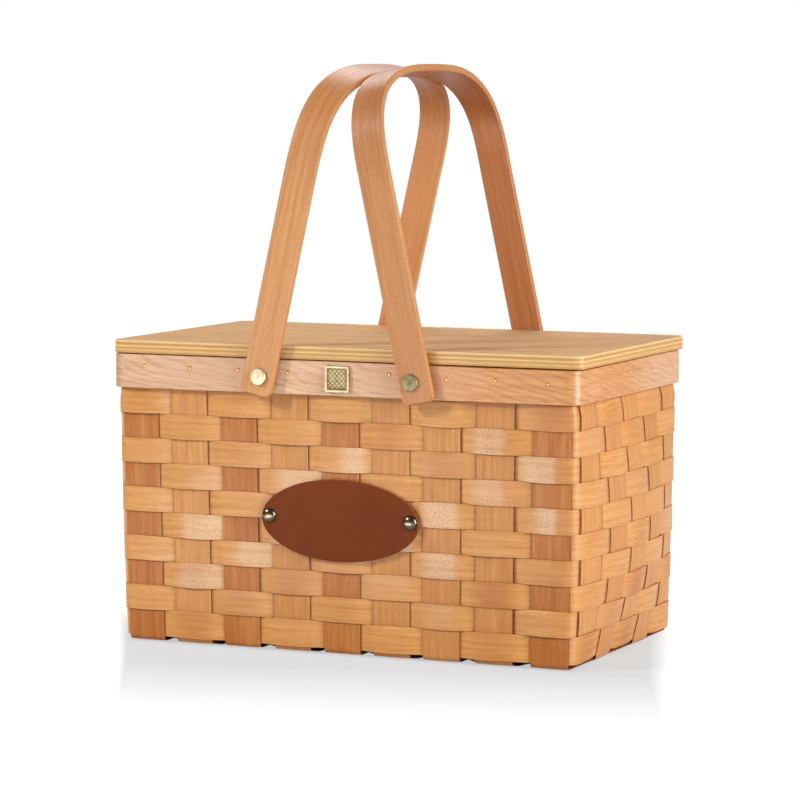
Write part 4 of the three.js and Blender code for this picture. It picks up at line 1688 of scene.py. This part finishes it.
@dataclass
class Patch(Assembly):
    """An oval of saddle leather on the front, held by two domed rivets."""

    length: float = 116.0
    height: float = 56.0
    thickness: float = 2.0
    centre_z: float = 92.755
    stand_off: float = 1.9
    rivet_inset: float = 5.7
    rivet_rise: float = 1.5
    rivet_gap: float = 0.1
    rivet_radius: float = 5.0
    skirt: float = 0.35
    dome: float = 2.65
    wall: float = 3.8
    edge: float = 0.45
    back_edge: float = 0.3
    swell: float = 0.3
    swell_run: float = 12.0
    rings: tuple[float, ...] = (1.6, 2.6, 4, 7, 11, 16, 22, 27)

    def place(self, local: np.ndarray) -> np.ndarray:
        """Turns places along, up and out of the patch into places of the basket, leaning with the wall."""
        s = SHAPE
        angle = math.atan(s.lean / s.rim_bottom)
        c, d = math.cos(angle), math.sin(angle)
        y0 = -s.wall_half(s.depth, self.centre_z) - self.stand_off
        u, v, w = local[..., 0], local[..., 1], local[..., 2]
        return np.stack([u, y0 - v * d - w * c, self.centre_z + v * c - w * d], -1)

    def oval(self) -> Grid:
        """Ellipses drawn in step by step: up the cut edge, over a quarter circle, then a low swell."""
        turn = np.linspace(0, QUARTER, 6)
        inner = np.array(self.rings)
        inset = np.concatenate([[self.back_edge, 0.0], self.edge * (1 - np.cos(turn)), inner])
        eased = self.thickness - self.edge + self.edge * np.sin(turn)
        swelled = self.thickness + self.swell * (1 - (1 - ramp(inner, self.swell_run)) ** 2)
        high = np.concatenate([[0.0, self.back_edge], eased, swelled])[:, None]
        angle = np.linspace(0, ROUND, 160, endpoint=False)
        x = (self.length / 2 - inset)[:, None] * np.cos(angle)
        y = (self.height / 2 - inset)[:, None] * np.sin(angle)
        local = np.stack([x, y, np.broadcast_to(high, x.shape)], -1)
        flat = np.array([1, 0, 1])
        points = self.place(np.concatenate([local[:1] * flat, local, local[-1:] * flat]))
        shade = np.concatenate([[0.2, 0.6, 0.7], np.linspace(0.8, 0, 6), np.zeros(len(inner) + 1)])
        return Grid(points, strip_grain(points), tone=shade[:, None])

    def rivet(self, sign: int) -> Grid:
        """A domed cap with a drawn-in skirt, turned, with its shank and tail behind it."""
        x = sign * (self.length / 2 - self.rivet_inset)
        origin = self.place(np.array([x, self.rivet_rise, self.thickness + self.rivet_gap]))
        axis = self.place(np.array([0.0, 0.0, 1.0])) - self.place(np.zeros(3))
        turn = np.linspace(0, QUARTER, 9)
        cap = [(self.rivet_radius * math.cos(t), self.skirt + self.dome * math.sin(t)) for t in turn]
        back = -(self.thickness + self.wall + self.rivet_gap)
        stem = [(0, back - 0.8), (2.4, back - 0.6), (3.0, back), (1.5, back), (1.5, 0), (4.8, 0)]
        tone = [0.5] * len(stem) + [1.0, 0.5] + [0.0] * (len(cap) - 2)
        return lathe(stem + cap, origin, axis, 36, tone)

    def build(self) -> None:
        """Builds the leather and its rivets."""
        self.add("oval_leather", "basket", [self.oval()], ["leather_patch"])
        for name, sign in SIDES:
            cad = f"{name}_patch_rivet"
            self.add(f"domed_{cad}", "basket", [self.rivet(sign)], [cad])

    def dress(self) -> None:
        """Saddle leather, and aged nickel on the rivets."""
        self.finish([SADDLE_LEATHER], "saddle_leather", "leather")
        self.finish([AGED_NICKEL], "brass", "domed_")


@dataclass
class Badge(Assembly):
    """A small square brass plate on the rim's front: a raised border round crossed grooves."""

    side: float = 17.8
    thickness: float = 2.0
    corner: float = 1.5
    least_corner: float = 0.35
    border: float = 1.6
    pocket: float = 0.6

    def build(self) -> None:
        """Builds the plate: loops of a rounded square, up the side, over the border, down to the field."""
        low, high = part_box("badge")
        back = max(abs(low.y), abs(high.y)) / MM - self.thickness
        z = (low.z + high.z) / 2 / MM
        b, t, p = self.border, self.thickness, self.pocket
        # How far each loop is drawn in, its height and its tone.
        profile = (
            (0.1, 0, 0.2), (0, 0.1, 0.2), (0, t - 0.35, 0.2), (0.1, t - 0.1, 0.1), (0.35, t, 0),
            (b - 0.3, t, 0), (b - 0.08, t - 0.1, 0.1), (b + 0.12, t - p + 0.1, 0.9), (b + 0.3, t - p, 0.8),
            (b + 1.5, t - p, 0.35),
        )
        half = (self.side / 2, self.side / 2)
        steps = [step[:2] for step in profile]
        tone = [step[2] for step in profile]
        loops, level = stacked_loops(half, self.corner, steps, (10, 10), bend=5, least=self.least_corner)
        points = np.stack([loops[..., 0], -back - level, z + loops[..., 1]], -1)
        shade = np.array([tone[0], *tone, 0.3])[:, None]
        self.add("brass_badge", "basket", [Grid(points, strip_grain(points), tone=shade)], ["badge"])

    def dress(self) -> None:
        """Antique brass, dark in the grooves of the pocket."""
        self.finish([BADGE_BRASS], "brass")


def towards(azimuth: float, elevation: float) -> Vector:
    """Direction from the basket, by degrees right of straight in front and degrees above the table."""
    a, e = math.radians(azimuth), math.radians(elevation)
    return Vector((math.sin(a) * math.cos(e), -math.cos(a) * math.cos(e), math.sin(e)))


class Stand(Enum):
    """How a lamp stands."""

    RAISED = "on a stand, aimed at the basket"
    LYING = "flat on the table, lengthwise towards the basket"


# Where raised lamps aim and how far lying ones are off the table, in metres, and the camera's sensor.
AIM = Vector((0, 0, 0.17))
LYING_RISE = Vector((0, 0, 0.003))
SENSOR = 36.0


@dataclass(frozen=True)
class Lamp:
    """A soft lamp.

    Attributes:
        name: What it is called.
        azimuth: Degrees to the right of straight in front.
        elevation: Degrees above the table.
        distance: Metres from the basket.
        size: Width and height, or length, in metres.
        power: Watts.
        stand: How it stands.
        sheen_only: Whether it shows only as a sheen in glossy faces.
    """

    name: str
    azimuth: float
    elevation: float
    distance: float
    size: Pair
    power: float
    stand: Stand = Stand.RAISED
    sheen_only: bool = False

    def place(self) -> None:
        """Puts the lamp in the scene."""
        back = towards(self.azimuth, self.elevation)
        data = bpy.data.lights.new(self.name, "AREA")
        data.shape = "RECTANGLE"
        data.size, data.size_y = self.size
        data.energy = self.power
        lamp = bpy.data.objects.new(self.name, data)
        if self.stand is Stand.LYING:
            axes = (towards(self.azimuth + 90, 0), towards(self.azimuth, 0), Vector((0, 0, -1)))
            turned = Matrix(axes).transposed().to_4x4()
            lamp.matrix_world = Matrix.Translation(back * self.distance + LYING_RISE) @ turned
        else:
            lamp.location = AIM + back * self.distance
            lamp.rotation_euler = (-back).to_track_quat("-Z", "Y").to_euler()
        lamp.visible_diffuse = not self.sheen_only
        bpy.context.scene.collection.objects.link(lamp)


@dataclass(frozen=True)
class Viewpoint:
    """Where the photograph was taken from.

    Attributes:
        azimuth: Degrees to the right of straight in front.
        elevation: Degrees above the table.
        distance: Distance from the point that is looked at.
        focal: Focal length in pixels of the frame.
        target: The point in the middle of the frame.
        roll: Degrees that the camera is turned about its own line of sight.
        frame: Width of the frame in pixels.
    """

    azimuth: float = 23.669
    elevation: float = 5.331
    distance: float = 2510.95
    focal: float = 3593.1
    target: tuple[float, float, float] = (0.215, 0.0, 166.293)
    roll: float = 0.117
    frame: int = 800

    def place(self) -> None:
        """Makes the camera and gives it to the scene."""
        back = towards(self.azimuth, self.elevation)
        r = math.radians(self.roll)
        side = (-back).cross(Vector((0, 0, 1))).normalized()
        up = back.cross(side)
        right = math.cos(r) * side + math.sin(r) * up
        over = math.cos(r) * up - math.sin(r) * side
        data = bpy.data.cameras.new("camera")
        data.sensor_width = SENSOR
        data.lens = self.focal * SENSOR / self.frame
        camera = bpy.data.objects.new("camera", data)
        turned = Matrix((right, over, back)).transposed().to_4x4()
        spot = (Vector(self.target) + back * self.distance) * MM
        camera.matrix_world = Matrix.Translation(spot) @ turned
        bpy.context.scene.collection.objects.link(camera)
        bpy.context.scene.camera = camera


@dataclass
class Studio:
    """Plain soft studio light over a pale floor, with a painted shadow band on the floor in front of the
    basket.

    The floor's own sizes are in metres.
    """

    ambient: float = 0.24
    glossy_glow: Pair = (0.2, 0.5)
    glossy_ends: Pair = (-0.3, 0.4)
    floor_radius: float = 1.6
    floor_colour: str = "#d4d4d2"
    floor_seen: str = "#7d8184"
    # Grey stops paint the floor's shadow in front of the basket; white stops paint over lamp shadows.
    floor_glow_with_shadow_band: tuple[tuple[float, str], ...] = (
        (0.06, "#ffffff"), (0.2, "#c4c4c4"), (0.34, "#c4c4c4"), (0.64, "#ffffff"),
    )
    floor_ahead: tuple[float, float, float] = (0.25, -0.97, 0.0)
    floor_aside: tuple[float, float, float] = (0.92, 0.4, 0.0)
    floor_run: Pair = (-0.2, 0.8)
    floor_nearer: float = -0.4
    floor_sides: tuple[Pair, ...] = ((-0.183, -0.204), (0.15, 0.194))
    lamps: tuple[Lamp, ...] = (
        Lamp("key from front left", -46, 30, 2.2, (0.35, 0.35), 27),
        Lamp("sheen sheet from front left", -17, 0, 0.85, (0.4, 1.1), 10, Stand.LYING, True),
        Lamp("sheen sheet beside the corner", 86, 3, 1.6, (0.8, 0.6), 50, sheen_only=True),
        Lamp("fill from right", 72, 20, 2.4, (1.2, 1.2), 46),
        Lamp("top light from behind", 203.7, 42, 2.2, (1.3, 0.9), 20),
    )

    def seen(self, tree: Tree) -> Socket:
        """Gives 1 to rays that look at the background, and 0 to rays that only light the basket."""
        path = node(tree, "LightPath").outputs
        some = maths(tree, "MAXIMUM", path["Is Camera Ray"], path["Is Glossy Ray"])
        return maths(tree, "MAXIMUM", some, path["Is Transmission Ray"])

    def glow_with_painted_shadow(self, tree: Tree) -> Socket:
        """Paints the floor's glow: it dips in a band just in front of the basket, a painted shadow, and is
        white beyond both sides, painting over the lamps' shadows there.
        """
        place = object_place(tree)
        ahead, aside = (
            node(tree, "VectorMath", {0: place, 1: way}, operation="DOT_PRODUCT").outputs["Value"]
            for way in (self.floor_ahead, self.floor_aside)
        )
        share = remap(tree, ahead, self.floor_run)
        most = node(tree, "ValToRGB", {"Fac": share}, self.floor_glow_with_shadow_band).outputs["Color"]
        distance = maths(tree, "MULTIPLY_ADD", ahead, self.floor_nearer, 1.0)
        angle = maths(tree, "DIVIDE", aside, distance)
        for ends in self.floor_sides:
            most = maths(tree, "MAXIMUM", most, remap(tree, angle, ends))
        return maths(tree, "MULTIPLY", self.seen(tree), most)

    def floor(self) -> None:
        """Makes the floor, a disc that glows only for rays that look at it, with a painted shadow in front.
        Those rays also see a darker, cooler paper.
        """
        angle = np.linspace(0, ROUND, 96, endpoint=False)
        disc = np.stack([np.cos(angle), np.sin(angle), 0 * angle], -1) * self.floor_radius
        mesh = bpy.data.meshes.new("floor")
        mesh.from_pydata(disc.tolist(), [], [list(range(len(angle)))])
        floor = bpy.data.objects.new("floor", mesh)
        bpy.context.scene.collection.objects.link(floor)
        material, tree = new_material("matt white paper sweep")
        tint = mixed(tree, self.seen(tree), self.floor_colour, self.floor_seen)
        paper = node(tree, "BsdfDiffuse", {"Color": tint})
        lit = node(tree, "Emission", {"Color": "#ffffff", "Strength": self.glow_with_painted_shadow(tree)})
        both = node(tree, "AddShader", {0: paper.outputs[0], 1: lit.outputs[0]})
        node(tree, "OutputMaterial", {"Surface": both.outputs[0]})
        mesh.materials.append(material)

    def build(self) -> None:
        """Makes the world, the floor, the lamps and the camera."""
        scene = bpy.context.scene
        scene.view_settings.view_transform = "Standard"
        world = bpy.data.worlds.new("white studio")
        world.use_nodes = True
        scene.world = world
        tree = world.node_tree
        tree.nodes.clear()
        way = node(tree, "TexCoord").outputs["Generated"]
        behind = node(tree, "SeparateXYZ", {"Vector": way}).outputs["Y"]
        mirrored = remap(tree, behind, self.glossy_ends, self.glossy_glow)
        camera = node(tree, "LightPath").outputs["Is Camera Ray"]
        white = remap(tree, camera, target=(mirrored, 1.0))
        level = remap(tree, self.seen(tree), target=(self.ambient, white))
        light = node(tree, "Background", {"Color": "#ffffff", "Strength": level})
        node(tree, "OutputWorld", {"Surface": light.outputs[0]})
        self.floor()
        for lamp in self.lamps:
            lamp.place()
        Viewpoint().place()


def main() -> None:
    """Builds and dresses every sub-assembly in order, then the studio."""
    logging.basicConfig(level=logging.INFO, format="%(name)s: %(message)s")
    for kind in (Weavers, Stakes, Rim, Lid, Handles, Hinges, Patch, Badge):
        assembly = kind()
        assembly.build()
        assembly.dress()
        for piece in assembly.pieces:
            LOG.info("%s, %d faces", piece.name, len(piece.data.polygons))
    Studio().build()


if __name__ == "__main__":
    main()
